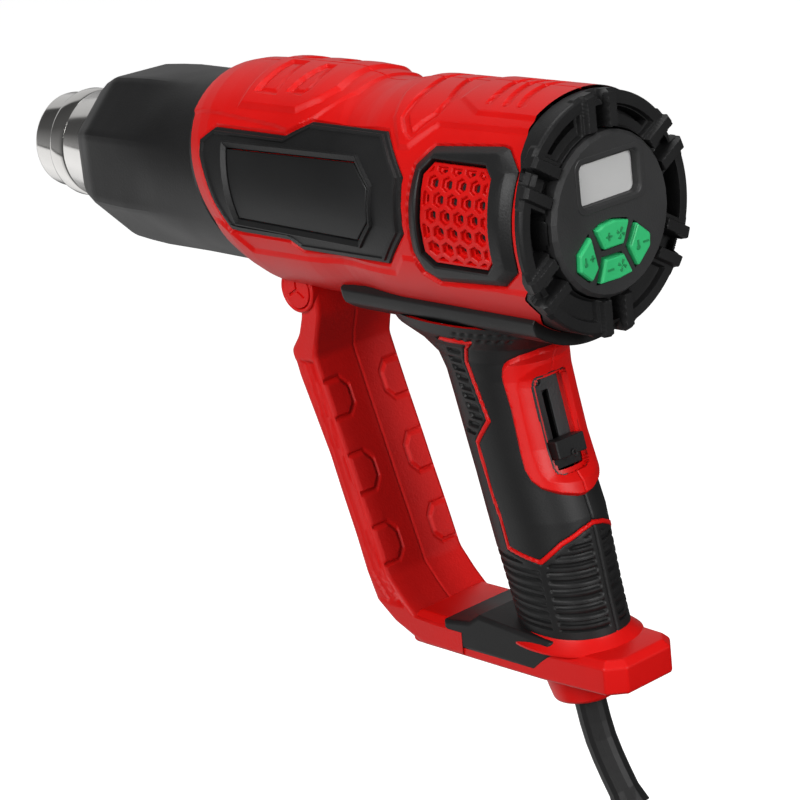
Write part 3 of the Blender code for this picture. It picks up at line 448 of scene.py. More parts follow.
def loft(name, sections, look, slot, bevel=0.0, caps=True, closed=False, sharp=30.0, body=BODY, hides=()):
    """Skin equal rings of points, with bevelled edges."""
    shape = bmesh.new()
    rows = [[shape.verts.new(Vector(p) * MM) for p in ring] for ring in sections]
    n = len(rows[0])
    pairs = list(zip(rows, rows[1:])) + ([(rows[-1], rows[0])] if closed else [])
    for a, b in pairs:
        for k in range(n):
            shape.faces.new((a[k], a[(k + 1) % n], b[(k + 1) % n], b[k]))
    if caps and not closed:
        shape.faces.new(rows[0][::-1])
        shape.faces.new(rows[-1])
    bmesh.ops.recalc_face_normals(shape, faces=shape.faces)
    mesh = bpy.data.meshes.new(name)
    shape.to_mesh(mesh)
    shape.free()
    thing = place_mesh(name, mesh, look, slot, body=body, hides=hides, sharp=sharp)
    return beveled(thing, bevel) if bevel else thing


# ---- the cord -----------------------------------------------------------------------
CORD_D = 7.2
COIL_R = 43.0
COIL_X, COIL_Z = -6.0, -203.0
RUN = [(-32.8, 0.0, -106.0), (-38.6, 0.6, -117.4), (-44.4, 1.6, -131.0), (-47.8, 3.2, -146.0),
       (-48.7, 4.4, -155.0), (-49.0, 5.6, -166.0)]
TAIL = [(-49.0, -5.8, -240.2), (-48.8, -5.4, -249.0), (-48.2, -5.2, -258.0), (-47.8, -5.2, -268.0)]
TURNS = [(0.0, 7.2), (-6.24, 3.6), (-6.24, -3.6), (0.0, 0.0), (6.24, 3.6), (6.24, -3.6), (0.0, -7.2)]


def cord_route():
    """Down from the sleeve, six turns of a coil, and down again to the plug."""
    points = [np.array(p) for p in RUN]
    steps = 40
    for turn in range(6):
        for k in range(steps):
            t = k / steps
            move = 0.0 if t < 0.66 else (1 - cos(pi * (t - 0.66) / 0.34)) / 2
            r = TURNS[turn][0] + (TURNS[turn + 1][0] - TURNS[turn][0]) * move
            y = TURNS[turn][1] + (TURNS[turn + 1][1] - TURNS[turn][1]) * move
            a = pi + 2 * pi * t
            points.append(np.array((COIL_X + (COIL_R + r) * cos(a), y, COIL_Z + (COIL_R + r) * sin(a))))
    points.append(np.array((COIL_X - COIL_R, -7.2, COIL_Z)))
    points.append(np.array((COIL_X - COIL_R, -7.0, COIL_Z - 18.0)))
    return points + [np.array(p) for p in TAIL]


def mains_cord():
    curve = bpy.data.curves.new("mains_cord", "CURVE")
    curve.dimensions = "3D"
    curve.bevel_depth = CORD_D / 2 * MM
    curve.bevel_resolution = 5
    curve.use_fill_caps = True
    line = curve.splines.new("NURBS")
    route = cord_route()
    line.points.add(len(route) - 1)
    for point, place in zip(line.points, route):
        point.co = (*(place * MM), 1.0)
    line.order_u = 4
    line.use_endpoint_u = True
    line.resolution_u = 3
    curve.materials.append(MATERIALS["cord_rubber"])
    thing = bpy.data.objects.new("mains_cord", curve)
    bpy.context.scene.collection.objects.link(thing)
    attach(thing, BODY)
    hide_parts("cord_run", "cord_coil", "cord_tail")


# ---- the red barrel -----------------------------------------------------------------
PANEL = [
    (109.8, -13.3), (103.5, -18.7), (68.6, -18.7), (58.3, -25.0), (23.2, -24.8),
    (10.5, -9.9), (9.8, 9.0), (20.5, 21.6), (61.3, 22.0), (66.5, 18.5), (90.2, 18.5),
    (95.5, 18.0), (100.9, 8.6), (105.3, -1.2), (108.6, -7.6)]
LABEL = [(94.0, -11.2), (32.5, -12.2), (24.8, -4.6), (25.0, 6.4), (31.1, 13.2), (88.3, 12.1)]
VENT = [
    (5.3, -14.5), (-0.6, -21.6), (-28.4, -24.2), (-31.2, -23.4), (-38.0, -16.4), (-38.2, 12.6),
    (-38.0, 16.4), (-30.4, 22.8), (-1.4, 25.6), (4.6, 21.8), (6.6, 14.6), (6.2, -2.6)]
GRILLE = [
    (1.0, -12.0), (-2.6, -16.3), (-25.1, -16.3), (-28.7, -12.6), (-29.1, -4.0), (-29.3, 5.0),
    (-29.3, 13.6), (-26.0, 17.2), (-3.2, 17.4), (0.8, 13.8), (1.0, 5.0), (1.0, -4.0)]
JOINT_LEAN = [(-40, 0), (40, 0), (48, 0.02), (56, 0.04), (66, 0.07), (76, 0.12), (88, 0.2),
              (96, 0.28), (105, 0.34), (113.5, 0.36)]
BARREL_R = [(-40, 37.2), (26, 37.2), (33, 36.8), (40, 36.1), (45, 35.9), (50, 36.2), (56, 36.8),
            (62, 37.2), (95, 37.2), (101, 36.9), (106, 35.8), (109, 34.8), (113.3, 33.2)]

# outlines given as (x, angle), on the left side
TOP_PAD = [(100.1, 2.2), (98.2, 17.2), (97.4, 29.2), (96.2, 43.4), (67.3, 43.2), (59.2, 34.3),
           (55.2, 23.8), (56.3, 4.6), (57.0, -8.0), (101.0, -8.0)]
PAD_GROOVES = [
    [(93.2, 2.4), (92.4, 21.7), (92.1, 33.8), (80.3, 34.3), (80.9, 26.5), (83.1, 11.3), (84.4, 2.4)],
    [(75.4, 4.0), (76.4, 20.8), (77.0, 31.9), (68.8, 33.0), (66.2, 27.6), (67.8, 13.1), (69.8, 4.0)]]
LOZENGE = [(22.0, -6.0), (19.2, 13.9), (18.8, 28.0), (18.3, 36.8), (14.1, 44.0), (11.4, 46.5),
           (8.9, 39.5), (5.8, 33.2), (5.3, 22.9), (11.6, -5.0)]
TOP_PLATE = [(30.6, -9.0), (29.7, 6.3), (28.1, 21.4), (24.0, 37.6), (15.1, 54.7), (10.5, 54.1),
             (1.8, 40.1), (-44.0, 38.4), (-44.0, -9.0)]
REAR_PAD = [(1.2, -9.0), (1.7, 21.8), (-10.5, 31.6), (-44.0, 31.2), (-44.0, -9.0)]
REAR_GROOVES = [
    [(-12.3, 22.5), (-11.7, 12.9), (-9.2, -9.0)], [(-19.6, 22.9), (-18.0, 12.6), (-15.0, -9.0)],
    [(-25.8, 22.6), (-24.3, 14.7), (-22.2, -9.0)]]
SHOULDER = [(122.0, 47.0), (115.1, 47.3), (106.0, 47.8), (74.9, 51.1), (68.4, 52.8), (62.0, 49.0),
            (57.5, 43.0), (53.5, 34.0), (49.0, 22.0), (49.0, -9.0), (122.0, -9.0)]
LOWER_PLATE = [(100.0, 104.0), (93.6, 110.0), (87.7, 118.9), (19.2, 117.4), (12.5, 106.6), (6.2, 106.5),
               (-2.0, 118.0), (-44.0, 116.3), (-44.0, 190.0), (106.0, 190.0), (106.0, 104.0)]
REAR_EDGE = [
    (0, -36.4), (4, -36.4), (27, -35.3), (38, -35.3), (50, -36.8), (57, -39.0), (71, -39.8),
    (89, -40.2), (106, -40.3), (111.4, -38.8), (115.4, -39.9), (121.4, -37.1), (131.4, -39.0),
    (143.4, -33.9), (150, -33.9), (180, -35.0)]


def interpolate(x, table):
    return np.interp(x, [p[0] for p in table], [p[1] for p in table])


def folded(angle):
    """Angles from the top, the same on both sides."""
    return np.where(angle > 180, 360 - angle, angle)


def barrel_height(x, angle):
    """How far the red barrel's surface is from the axis, given true x and folded angle."""
    s = (angle - SIDE_ANGLE) * ARC
    arc_top = angle * ARC
    lean = np.cos(np.radians(angle))
    nominal = x.copy()
    for _ in range(3):
        nominal = x - interpolate(nominal, JOINT_LEAN) * 38.0 * lean
    h = interpolate(nominal, BARREL_R)

    def shape(outline):
        return polygon_distance(x, arc_top, [(px, pa * ARC) for px, pa in outline])

    # the waist is sunk, and its edges curve forward down the side
    bent = x + 0.5 * 38.0 * (1 - lean)
    waist = np.minimum(np.clip((53.0 - bent) / 3.3, 0, 1), np.clip((bent - 34.5) / 6.0, 0, 1))
    waist *= np.clip((58.0 - angle) / 10.0, 0, 1)
    h -= 0.5 * waist * np.clip((37.3 - h + 1.0), 0.0, 1.0)

    h += 0.9 * within(shape(TOP_PLATE), 1.7)
    h += 0.7 * within(shape(REAR_PAD), 1.5)
    h += 0.75 * within(shape(SHOULDER), 1.2)
    h += 1.25 * within(shape(TOP_PAD), 2.0)
    for outline in PAD_GROOVES:
        h -= 1.2 * within(shape(outline), 1.3)
        h += 0.5 * within(shape(outline) + 2.0, 1.0)
    h -= 0.9 * groove(np.abs(shape(LOZENGE)), 0.8, 0.8)
    for path in REAR_GROOVES:
        h -= 0.9 * groove(line_distance(x, arc_top, [(px, pa * ARC) for px, pa in path]), 0.8, 0.8)
    h += 0.95 * within(shape(LOWER_PLATE), 1.6)
    h = np.minimum(h, 39.2)

    # pockets for the side inserts, with a lip round each
    panel = polygon_distance(x, s, PANEL)
    vent = polygon_distance(x, s, VENT)
    for edge in (panel, vent):
        h -= 0.9 * np.clip((0.8 - edge) / 0.5, 0, 1)
        h = np.where(edge < -0.7, 34.0, h)
    # the seam between the halves
    h -= 0.35 * np.clip((0.35 - arc_top) / 0.12, 0, 1)
    return h


def barrel():
    fine = np.array([0.0, 0.2, 0.36, 0.55])
    half = np.concatenate([fine / ARC, np.arange(1.6, 180.0, 0.7), [180.0]])
    angle = np.concatenate([half, 360 - half[-2:0:-1]])
    t = np.linspace(0, 1, 290)
    grid_t, grid_a = np.meshgrid(t, angle, indexing="ij")
    low = folded(grid_a)
    rear = np.interp(low, [p[0] for p in REAR_EDGE], [p[1] for p in REAR_EDGE])
    front = 113.2 + LEAN * 33.4 * np.cos(np.radians(grid_a))
    x = rear + (front - rear) * grid_t
    h = barrel_height(x, low)
    h[-1] = 30.0
    h[-2] = 33.2
    skin("barrel_shell", around(x, grid_a, h), "red_shell", "red_shell", wrap_v=True, flip=False,
         hides=("housing_left", "housing_right"), sharp=13)


# ---- the guard ------------------------------------------------------------------------
GUARD = [
    ((77.0, 66.0), (87.0, 66.0)), ((77.0, 53.0), (86.5, 53.0)), ((80.0, 43.5), (89.2, 45.5)),
    ((81.0, 38.5), (94.0, 39.5)), ((78.3, 30.0), (91.6, 30.5)), ((74.4, 18.0), (86.6, 18.6)),
    ((69.6, 4.0), (80.6, 4.0)), ((66.0, -7.0), (77.0, -8.0)), ((60.8, -22.0), (71.8, -24.0)),
    ((56.3, -35.8), (68.4, -36.4)), ((50.0, -43.0), (65.0, -45.4)), ((44.8, -48.0), (56.0, -52.2)),
    ((34.0, -48.2), (43.5, -58.0)), ((22.0, -48.2), (22.0, -58.0))]
GUARD_HALF, GUARD_FACE_HALF = 18.0, 16.4
GUARD_PADS = [(30.0, 17.5), (5.0, -8.0), (-19.5, -32.0)]


def resampled(points, step):
    """Points a fixed step apart along a path of numbers, and how far along each lies."""
    points = np.array(points, float)
    far = np.concatenate([[0], np.cumsum(np.linalg.norm(np.diff(points, axis=0), axis=1))])
    along = np.linspace(0, far[-1], int(far[-1] / step) + 1)
    return np.stack([np.interp(along, far, points[:, k]) for k in range(points.shape[1])], axis=1), along


def smoothed(values, span):
    kernel = np.ones(span) / span
    padded = np.pad(values, ((span // 2, span // 2), (0, 0)), mode="edge")
    return np.stack([np.convolve(padded[:, k], kernel, mode="valid") for k in range(values.shape[1])], axis=1)


def guard_outline():
    """The section as (share of thickness, y, part), starting at the middle of the inner face."""
    half, face = GUARD_HALF, GUARD_FACE_HALF
    points = [(0.0, y, 0) for y in np.linspace(0, half - 1.5, 48)]
    points += [(0.03, half - 0.5, 1), (0.09, half, 1)]
    points += [(e, half, 2) for e in np.linspace(0.12, 0.8, 18)]
    points += [(0.86, half - 0.15, 3), (0.95, face + 0.6, 3), (1.0, face - 0.4, 3)]
    points += [(1.0, y, 4) for y in np.linspace(face - 1.2, 0, 24)]
    mirrored = [(e, -y, k) for e, y, k in points[-2:0:-1]]
    return points + mirrored


def guard():
    rows, _ = resampled([(*a, *b) for a, b in GUARD], 0.9)
    rows = smoothed(rows, 5)
    outline = guard_outline()
    e = np.array([p[0] for p in outline])
    y = np.array([p[1] for p in outline])
    part = np.array([p[2] for p in outline])
    inner, outer = rows[:, None, :2], rows[:, None, 2:]
    flat = inner + (outer - inner) * e[None, :, None]
    grid = np.stack([flat[..., 0], np.broadcast_to(y, flat.shape[:2]), flat[..., 1]], axis=-1)
    across = outer[:, 0] - inner[:, 0]
    across /= np.linalg.norm(across, axis=1, keepdims=True)
    z = grid[..., 2]
    side = np.abs(grid[..., 1])

    on_inner = np.broadcast_to(part == 0, z.shape)
    lift = np.zeros(z.shape)
    for high, low in GUARD_PADS:
        pad = [(7.6, (high + low) / 2 + 3.0), (10.6, high), (30.0, high), (30.0, low), (10.6, low),
               (7.6, (high + low) / 2 - 3.0)]
        gap = polygon_distance(side, z, pad)
        lift -= 0.75 * groove(np.abs(gap), 0.45, 0.5)
        lift += 0.35 * within(gap, 0.8)
    lift -= 0.4 * np.clip((0.45 - side) / 0.2, 0, 1)
    lift = np.where(on_inner, lift, 0.0)
    grid[..., 0] -= lift * across[:, None, 0]
    grid[..., 2] -= lift * across[:, None, 1]

    # a deep channel runs down each side, with a shallower step in front of it
    thick = np.linalg.norm(outer[:, 0] - inner[:, 0], axis=1)[:, None] * e[None]
    on_side = np.broadcast_to((part == 2) | (part == 3), z.shape)
    span = np.clip((37.0 - z) / 1.5, 0, 1) * np.clip((z + 46.0) / 1.5, 0, 1)
    channel = 2.7 * np.clip((thick - 1.7) / 0.7, 0, 1) - 1.3 * np.clip((thick - 5.2) / 0.7, 0, 1)
    channel -= 1.0 * np.clip((thick - 8.2) / 0.7, 0, 1)
    grid[..., 1] -= np.sign(grid[..., 1]) * np.where(on_side, np.clip(channel, 0, 2.7), 0.0) * span
    return skin("guard", grid, "red_grained", "red_shell", wrap_v=True, sharp=40,
                hides=("housing_left", "housing_right"))


# ---- foot and boss --------------------------------------------------------------------
FOOT = [
    (47.0, 17.2), (8.0, 17.6), (-14.0, 17.6), (-40.2, 16.0), (-45.4, 10.4),
    (-45.4, -10.4), (-40.2, -16.0), (-14.0, -17.6), (8.0, -17.6), (47.0, -17.2)]


def foot():
    levels = [(-58.0, 1.0), (-57.2, 0.0), (-48.6, 0.0), (-46.3, 2.4), (-46.0, 6.0)]
    sections = [[(x, y, z) for x, y in grown(FOOT, -inset)] for z, inset in levels]
    loft("foot", sections, "red_shell", "red_shell", bevel=0.8, hides=("housing_left", "housing_right"))
    boss = []
    for x, z, r in ((-13.2, -56.0, 12.4), (-14.6, -63.2, 11.4), (-15.6, -67.6, 10.6), (-15.8, -68.5, 9.6)):
        boss.append([(x + r * cos(2 * pi * k / 48), r * sin(2 * pi * k / 48),
                      z - 0.1 * r * cos(2 * pi * k / 48))
                     for k in range(48)])
    loft("cord_boss", boss, "red_shell", "red_shell", bevel=0.5)


BOSS_X, BOSS_Z = 84.9, 62.3


def boss_ring():
    """The round boss at the guard's top, with a rim standing round its cap."""
    profile = [(-19.0, 6.6), (-19.3, 6.9), (-19.3, 7.6), (-18.9, 8.0), (18.9, 8.0), (19.3, 7.6), (19.3, 6.9),
               (19.0, 6.6), (17.4, 6.5)]
    profile = [(-17.4, 6.5)] + profile
    sections = [[(BOSS_X + r * cos(2 * pi * k / 56), y, BOSS_Z + r * sin(2 * pi * k / 56)) for k in range(56)]
                for y, r in profile]
    loft("guard_boss", sections, "red_shell", "red_shell", sharp=35.0)


# ---- the grip -------------------------------------------------------------------------
GRIP = [
    (66.0, 54.0, -28.0, 27.0), (58.0, 48.0, -22.0, 23.5), (53.0, 38.5, -15.5, 19.5),
    (48.0, 31.5, -12.6, 17.5), (42.0, 28.4, -12.9, 16.9), (33.0, 25.9, -14.6, 16.8),
    (19.5, 22.3, -17.4, 16.8), (8.0, 19.4, -21.2, 16.7), (-4.0, 16.6, -25.2, 16.7),
    (-17.6, 13.2, -27.6, 16.4), (-29.5, 9.9, -29.6, 16.0), (-42.5, 6.5, -32.2, 15.8)]

# on the grip, outlines are given as the distance round it from the middle of its back, and z
RED_LINE = [
    (46.0, 56.0), (41.8, 55.8), (32.3, 55.5), (29.0, 43.5), (26.2, 28.8), (34.5, 20.5), (35.7, 3.2),
    (34.5, -14.5), (21.3, -17.0), (12.9, -10.8), (5.0, -7.4), (0.0, -6.3)]
BEZEL = [
    (0.0, 52.6), (6.2, 52.5), (12.2, 51.2), (15.4, 49.5), (17.0, 47.0), (17.6, 43.8), (16.9, 32.8),
    (17.2, 22.0), (17.7, 13.5), (16.7, 9.8), (14.1, 7.0), (8.7, 4.5), (3.1, 2.8), (0.0, 2.4)]
BEZEL_EDGE = [
    (0.0, 46.2), (6.0, 46.0), (9.1, 44.8), (12.0, 43.0), (12.9, 40.0), (13.1, 30.2), (13.3, 16.8),
    (12.8, 12.0), (11.0, 9.4), (5.6, 7.8), (0.0, 7.2)]
WINDOW = [
    (0.0, 42.6), (5.8, 42.4), (7.6, 41.6), (8.4, 39.5), (8.4, 31.5), (8.2, 19.5), (8.1, 13.2),
    (7.4, 11.4), (5.4, 10.6), (0.0, 10.4)]


def grip_grid(z, angle, grow):
    """Points on the grip's surface; angle 0 is the front, 90 the left side."""
    table = np.array(GRIP)[::-1]
    front, back, half = (np.interp(z, table[:, 0], table[:, k]) for k in (1, 2, 3))
    c, s = np.cos(np.radians(angle)), np.sin(np.radians(angle))
    x = (front + back) / 2 + ((front - back) / 2 + grow) * np.abs(c) ** 0.9 * np.sign(c)
    y = (half + grow) * np.abs(s) ** 0.9 * np.sign(s) * (1.0 - 0.06 * c)
    return np.stack(np.broadcast_arrays(x, y, z), axis=-1)


def arc_from_back(p):
    """How far round the grip each point of a ring of points is from the ring's middle column."""
    step = np.linalg.norm(np.diff(p, axis=1), axis=2)
    far = np.concatenate([np.zeros((p.shape[0], 1)), np.cumsum(step, axis=1)], axis=1)
    return np.abs(far - far[:, p.shape[1] // 2][:, None])


def rows_of_grooves(z, pitch, half):
    return np.clip((half + 0.35 - np.abs((z % pitch) - pitch / 2)) / 0.35, 0, 1)


def grip_relief(w, z, front):
    """How far the rubber stands off its plain surface; front is the distance from the grip's nose."""
    line = line_distance(w, z, RED_LINE)
    edge = np.interp(z, [p[1] for p in RED_LINE[8:1:-1]], [p[0] for p in RED_LINE[8:1:-1]])
    lift = -0.6 * groove(line, 0.62, 0.3)
    # a ladder of slots in front of the line, and fine teeth on the nose
    ladder = np.minimum(np.minimum(w - edge - 2.4, edge + 8.4 - w), np.minimum(z - 22.5, 53.0 - z))
    lift -= 0.9 * rows_of_grooves(z, 3.1, 0.6) * np.clip(ladder / 0.4, 0, 1)
    nose = np.clip((5.0 - front) / 0.5, 0, 1) * (z < 53.0) * (z > -41.0)
    lift -= 0.8 * rows_of_grooves(z, 2.5, 0.55) * nose
    # grooves across the lower grip, in a column on each side of an upright rib
    under = np.interp(w, [0.0, 5.0, 12.9, 21.3, 34.5], [-9.0, -10.0, -13.4, -19.6, -17.0])
    low = np.minimum(np.minimum(under - z, z + 40.0), np.minimum(np.abs(w - 21.2) - 1.2, w - 2.2))
    low = np.minimum(low, front - 8.5)
    lift -= 0.8 * rows_of_grooves(z, 2.75, 0.42) * np.clip(low / 0.4, 0, 1)
    # the seam down the back, and two rows of dimples under the barrel
    lift -= 0.4 * np.clip((0.5 - w) / 0.3, 0, 1)
    for level in (59.4, 57.0):
        dimple = np.hypot(((w + level) % 3.4) - 1.7, (z - level) * 1.3)
        lift -= 0.8 * np.clip(1 - dimple / 1.2, 0, 1) * (w > 19.0) * (w < 42.0)
    return lift


def grip():
    z = np.arange(62.0, -42.6, -0.42)
    angle = np.arange(0.0, 360.1, 1.1)
    grid_z, grid_a = np.meshgrid(z, angle, indexing="ij")
    flat = grip_grid(grid_z, grid_a, 0.0)
    w = arc_from_back(flat)
    normal = normals_of(flat, False)
    if np.sum(normal[..., 1] * flat[..., 1]) < 0:
        normal = -normal
    points = flat + normal * grip_relief(w, grid_z, w[:, :1] - w)[..., None]
    open_back = (polygon_distance(w, grid_z, mirrored_outline(WINDOW)) > -0.2)[:-1, :-1]
    skin("grip_cover", points, "black_rubber", "black_rubber", keep=open_back, sharp=50,
         hides=("grip_cover_left", "grip_cover_right"))
    line = line_distance(w, grid_z, RED_LINE)
    strip = flat + normal * (0.3 - 1.6 * np.clip((line - 0.55) / 0.6, 0, 1))[..., None]
    keep = (line < 1.3)[:-1, :-1] & (line < 1.3)[1:, 1:] & (line < 1.3)[1:, :-1] & (line < 1.3)[:-1, 1:]
    skin("grip_line", strip, "red_shell", "red_shell", keep=keep, sharp=50)
    core = grip_grid(grid_z[::2, ::2], grid_a[::2, ::2], -1.5)
    closed = (polygon_distance(w, grid_z, mirrored_outline(WINDOW)) > -1.2)[::2, ::2][:-1, :-1]
    skin("grip_core", core, "red_shell", "red_shell", keep=closed, hides=("housing_left", "housing_right"))
    loft("grip_base", [grip_grid(np.array([h]), angle[:-1], g)[..., :].reshape(-1, 3) for h, g in
                       ((-42.4, -0.2), (-43.6, 0.5), (-46.4, 3.8), (-47.0, 3.8))],
         "red_shell", "red_shell", bevel=0.0, sharp=30)


def mirrored_outline(half):
    """A closed outline from its right half, whose ends lie on the middle line."""
    return half + [(-w, z) for w, z in half[-2:0:-1]]


def bezel():
    """The red surround of the switch, laid over the grip's back."""
    z = np.arange(53.4, 1.6, -0.35)
    w = np.arange(-18.6, 18.61, 0.35)
    grid_w, grid_z = np.meshgrid(w, z)
    angle = np.arange(90.0, 270.1, 0.5)
    rows = []
    for level, arcs in zip(z, grid_w):
        ring = grip_grid(np.full(angle.shape, level), angle, 0.0)
        far = np.concatenate([[0], np.cumsum(np.linalg.norm(np.diff(ring, axis=0), axis=1))])
        rows.append(grip_grid(np.full(arcs.shape, level),
                              np.interp(far[len(far) // 2] - arcs, far, angle), 0.0))
    flat = np.array(rows)
    normal = normals_of(flat, False)
    if np.sum(normal[..., 0]) > 0:
        normal = -normal
    outer = polygon_distance(grid_w, grid_z, mirrored_outline(BEZEL))
    edge = polygon_distance(grid_w, grid_z, mirrored_outline(BEZEL_EDGE))
    window = polygon_distance(grid_w, grid_z, mirrored_outline(WINDOW))
    lift = -0.9 + 2.5 * within(outer, 1.0)
    slope = np.clip(-edge / np.maximum(window - edge, 0.2), 0, 1)
    lift -= 1.3 * np.where(edge < 0, slope, 0.0)
    lift = np.where(window < 0, -4.6, lift)
    lift -= 0.35 * np.clip((0.4 - np.abs(grid_w)) / 0.25, 0, 1) * (window > 0)
    points = flat + normal * lift[..., None]
    opening = (window < -0.6)[:-1, :-1] & (window < -0.6)[1:, 1:]
    keep = (outer < 0.3)[:-1, :-1] & (outer < 0.3)[1:, 1:] & ~opening
    skin("switch_bezel", points, "red_shell", "red_shell", keep=keep, flip=True, sharp=28,
         hides=("switch_bezel",))


RAIL_ANGLE = 139.0


def belly():
    """A band round the barrel's underside whose upper edges are the two rails."""
    sections = []
    for k in range(61):
        angle = RAIL_ANGLE + (360.0 - 2 * RAIL_ANGLE) * k / 60
        lift = np.interp(abs(angle - 180.0), [0, 36.0, 39.0, 41.0], [42.3, 42.3, 40.9, 39.6])
        front = np.interp(abs(angle - 180.0), [0, 12.0, 41.0], [0.0, 0.0, -1.5])
        sections.append([
            around(-33.0, angle, 36.5), around(54.5 + front, angle, 36.0),
            around(57.0 + front, angle, lift - 1.2), around(55.5 + front, angle, lift),
            around(-33.0, angle, lift)])
    loft("belly", sections, "black_rubber", "black_rubber", bevel=0.5)


SADDLE = [
    (31.0, -46.0), (31.0, -49.0), (24.5, -55.2), (-10.5, -55.2), (-19.0, -48.0), (-19.0, -43.5),
    (14.0, -41.0), (19.0, -44.4)]


def saddle():
    sections = [[(x, y, z) for x, z in grown(SADDLE, -inset)]
                for y, inset in ((-17.9, 1.2), (-17.0, 0.0), (17.0, 0.0), (17.9, 1.2))]
    loft("saddle", sections, "black_rubber", "black_rubber", bevel=0.5)


# ---- side inserts ---------------------------------------------------------------------
def panel_relief():
    piece = Relief()
    last = piece.rings(PANEL, [
        (0.0, 34.4), (0.0, 36.5), (0.5, 37.1), (1.5, 37.2), (2.0, 38.0), (2.8, 38.1), (3.1, 37.6)])
    crown = piece.loop(grown(LABEL, 2.7), 37.8)
    piece.fill_between(last, crown)
    tops = piece.loop(grown(LABEL, 2.3), 38.9)
    piece.bridge(crown, tops)
    inner = piece.loop(grown(LABEL, 1.9), 38.95)
    piece.bridge(tops, inner)
    low = piece.loop(grown(LABEL, 0.5), 37.9)
    piece.bridge(inner, low)
    floor_edge = piece.loop(grown(LABEL, 0.35), 37.2)
    piece.bridge(low, floor_edge)
    return piece


def label_relief():
    piece = Relief()
    piece.fill(piece.rings(LABEL, [(0.0, 36.9), (0.0, 37.65), (0.3, 37.8), (0.9, 37.82)]))
    return piece


def vent_relief():
    piece = Relief()
    last = piece.rings(VENT, [(0.0, 34.0), (0.0, 36.9), (0.5, 37.3), (3.2, 38.6), (3.7, 38.75)])
    inner = piece.loop(grown(GRILLE, 1.1), 38.8)
    piece.fill_between(last, inner)
    lip = piece.loop(grown(GRILLE, 0.5), 38.5)
    piece.bridge(inner, lip)
    bottom = piece.loop(grown(GRILLE, 0.3), 34.0)
    piece.bridge(lip, bottom)
    return piece


def clipped(polygon, outline):
    """The part of a polygon inside a convex outline."""
    area = sum(a[0] * b[1] - b[0] * a[1] for a, b in zip(outline, outline[1:] + outline[:1]))
    if area < 0:
        outline = outline[::-1]
    for a, b in zip(outline, outline[1:] + outline[:1]):
        result = []
        side = [(b[0] - a[0]) * (p[1] - a[1]) - (b[1] - a[1]) * (p[0] - a[0]) for p in polygon]
        for k, p in enumerate(polygon):
            q, t, u = polygon[k - 1], side[k - 1], side[k]
            if (t < 0) != (u < 0):
                share = t / (t - u)
                result.append((q[0] + share * (p[0] - q[0]), q[1] + share * (p[1] - q[1])))
            if u >= 0:
                result.append(p)
        polygon = result
        if len(polygon) < 3:
            return []
    return polygon


def cleaned(polygon, least=0.25):
    """The polygon without corners that nearly coincide."""
    kept = [p for k, p in enumerate(polygon) if (Vector(p) - Vector(polygon[k - 1])).length > least]
    return kept if len(kept) > 2 else []


GRILLE_CORE = [(0.4, -11.6), (-2.9, -15.7), (-24.8, -15.7), (-28.2, -12.2), (-28.8, 4.9), (-28.7, 13.3),
               (-25.7, 16.6), (-3.5, 16.8), (0.2, 13.5), (0.4, 4.9)]


def grille_cells():
    pitch, wall = 6.05, 1.15
    radius = (pitch - wall) / sqrt(3)
    for row in range(-4, 5):
        s = 1.1 + row * 5.3
        for column in range(-6, 4):
            x = -7.15 + (column + 0.5 * ((row + 1) % 2)) * pitch
            corners = [(x + radius * sin(pi * k / 3), s + radius * cos(pi * k / 3)) for k in range(6)]
            cell = cleaned(clipped(corners, grown(GRILLE_CORE, -0.7)))
            area = abs(sum(a[0] * b[1] - b[0] * a[1] for a, b in zip(cell, cell[1:] + cell[:1]))) / 2
            if area > 2.2:
                yield cell


def grille_relief():
    piece = Relief()
    edge = piece.rings(GRILLE_CORE, [(-0.35, 34.0), (-0.35, 37.3), (0.0, 37.6)])
    rims = [edge]
    for cell in grille_cells():
        middle = [sum(p[k] for p in cell) / len(cell) for k in (0, 1)]
        size = sqrt(abs(sum(a[0] * b[1] - b[0] * a[1] for a, b in zip(cell, cell[1:] + cell[:1]))) / 2)
        last = None
        for inset, height in ((0.0, 37.6), (0.25, 37.3), (0.45, 36.3), (1.0, 36.1), (1.05, 34.6)):
            share = max(0.2, 1.0 - 2.0 * inset / size)
            here = piece.loop([(middle[0] + share * (u - middle[0]), middle[1] + share * (v - middle[1]))
                               for u, v in cell], height)
            if last:
                piece.bridge(last, here)
            else:
                rims.append(here)
            last = here
    piece.fill_between(*rims)
    return piece


def grille_painted_shade_relief():
    piece = Relief()
    # a near-black sheet just under the grille cells' floors: painted shade standing in for the dark depth inside
    # the vent
    piece.fill(piece.rings(GRILLE, [(0.6, 34.2), (0.8, 35.0)]))
    return piece


def side_inserts():
    both_sides("side_panel", panel_relief, "black_shell", "black_shell", ["side_panel"])
    both_sides("label_plate", label_relief, "black_smooth", "black_shell", ["label_plate"])
    both_sides("vent_frame", vent_relief, "black_shell", "black_shell", ["vent_frame"])
    both_sides("vent_grille", grille_relief, "red_shell", "red_shell", ["vent_grille"], step=9.0)
    # the vent sheet is painted shade: near-black colour put where the vent's depth falls into shadow
    both_sides("vent_painted_shade", grille_painted_shade_relief, "mark", "black_shell", [])


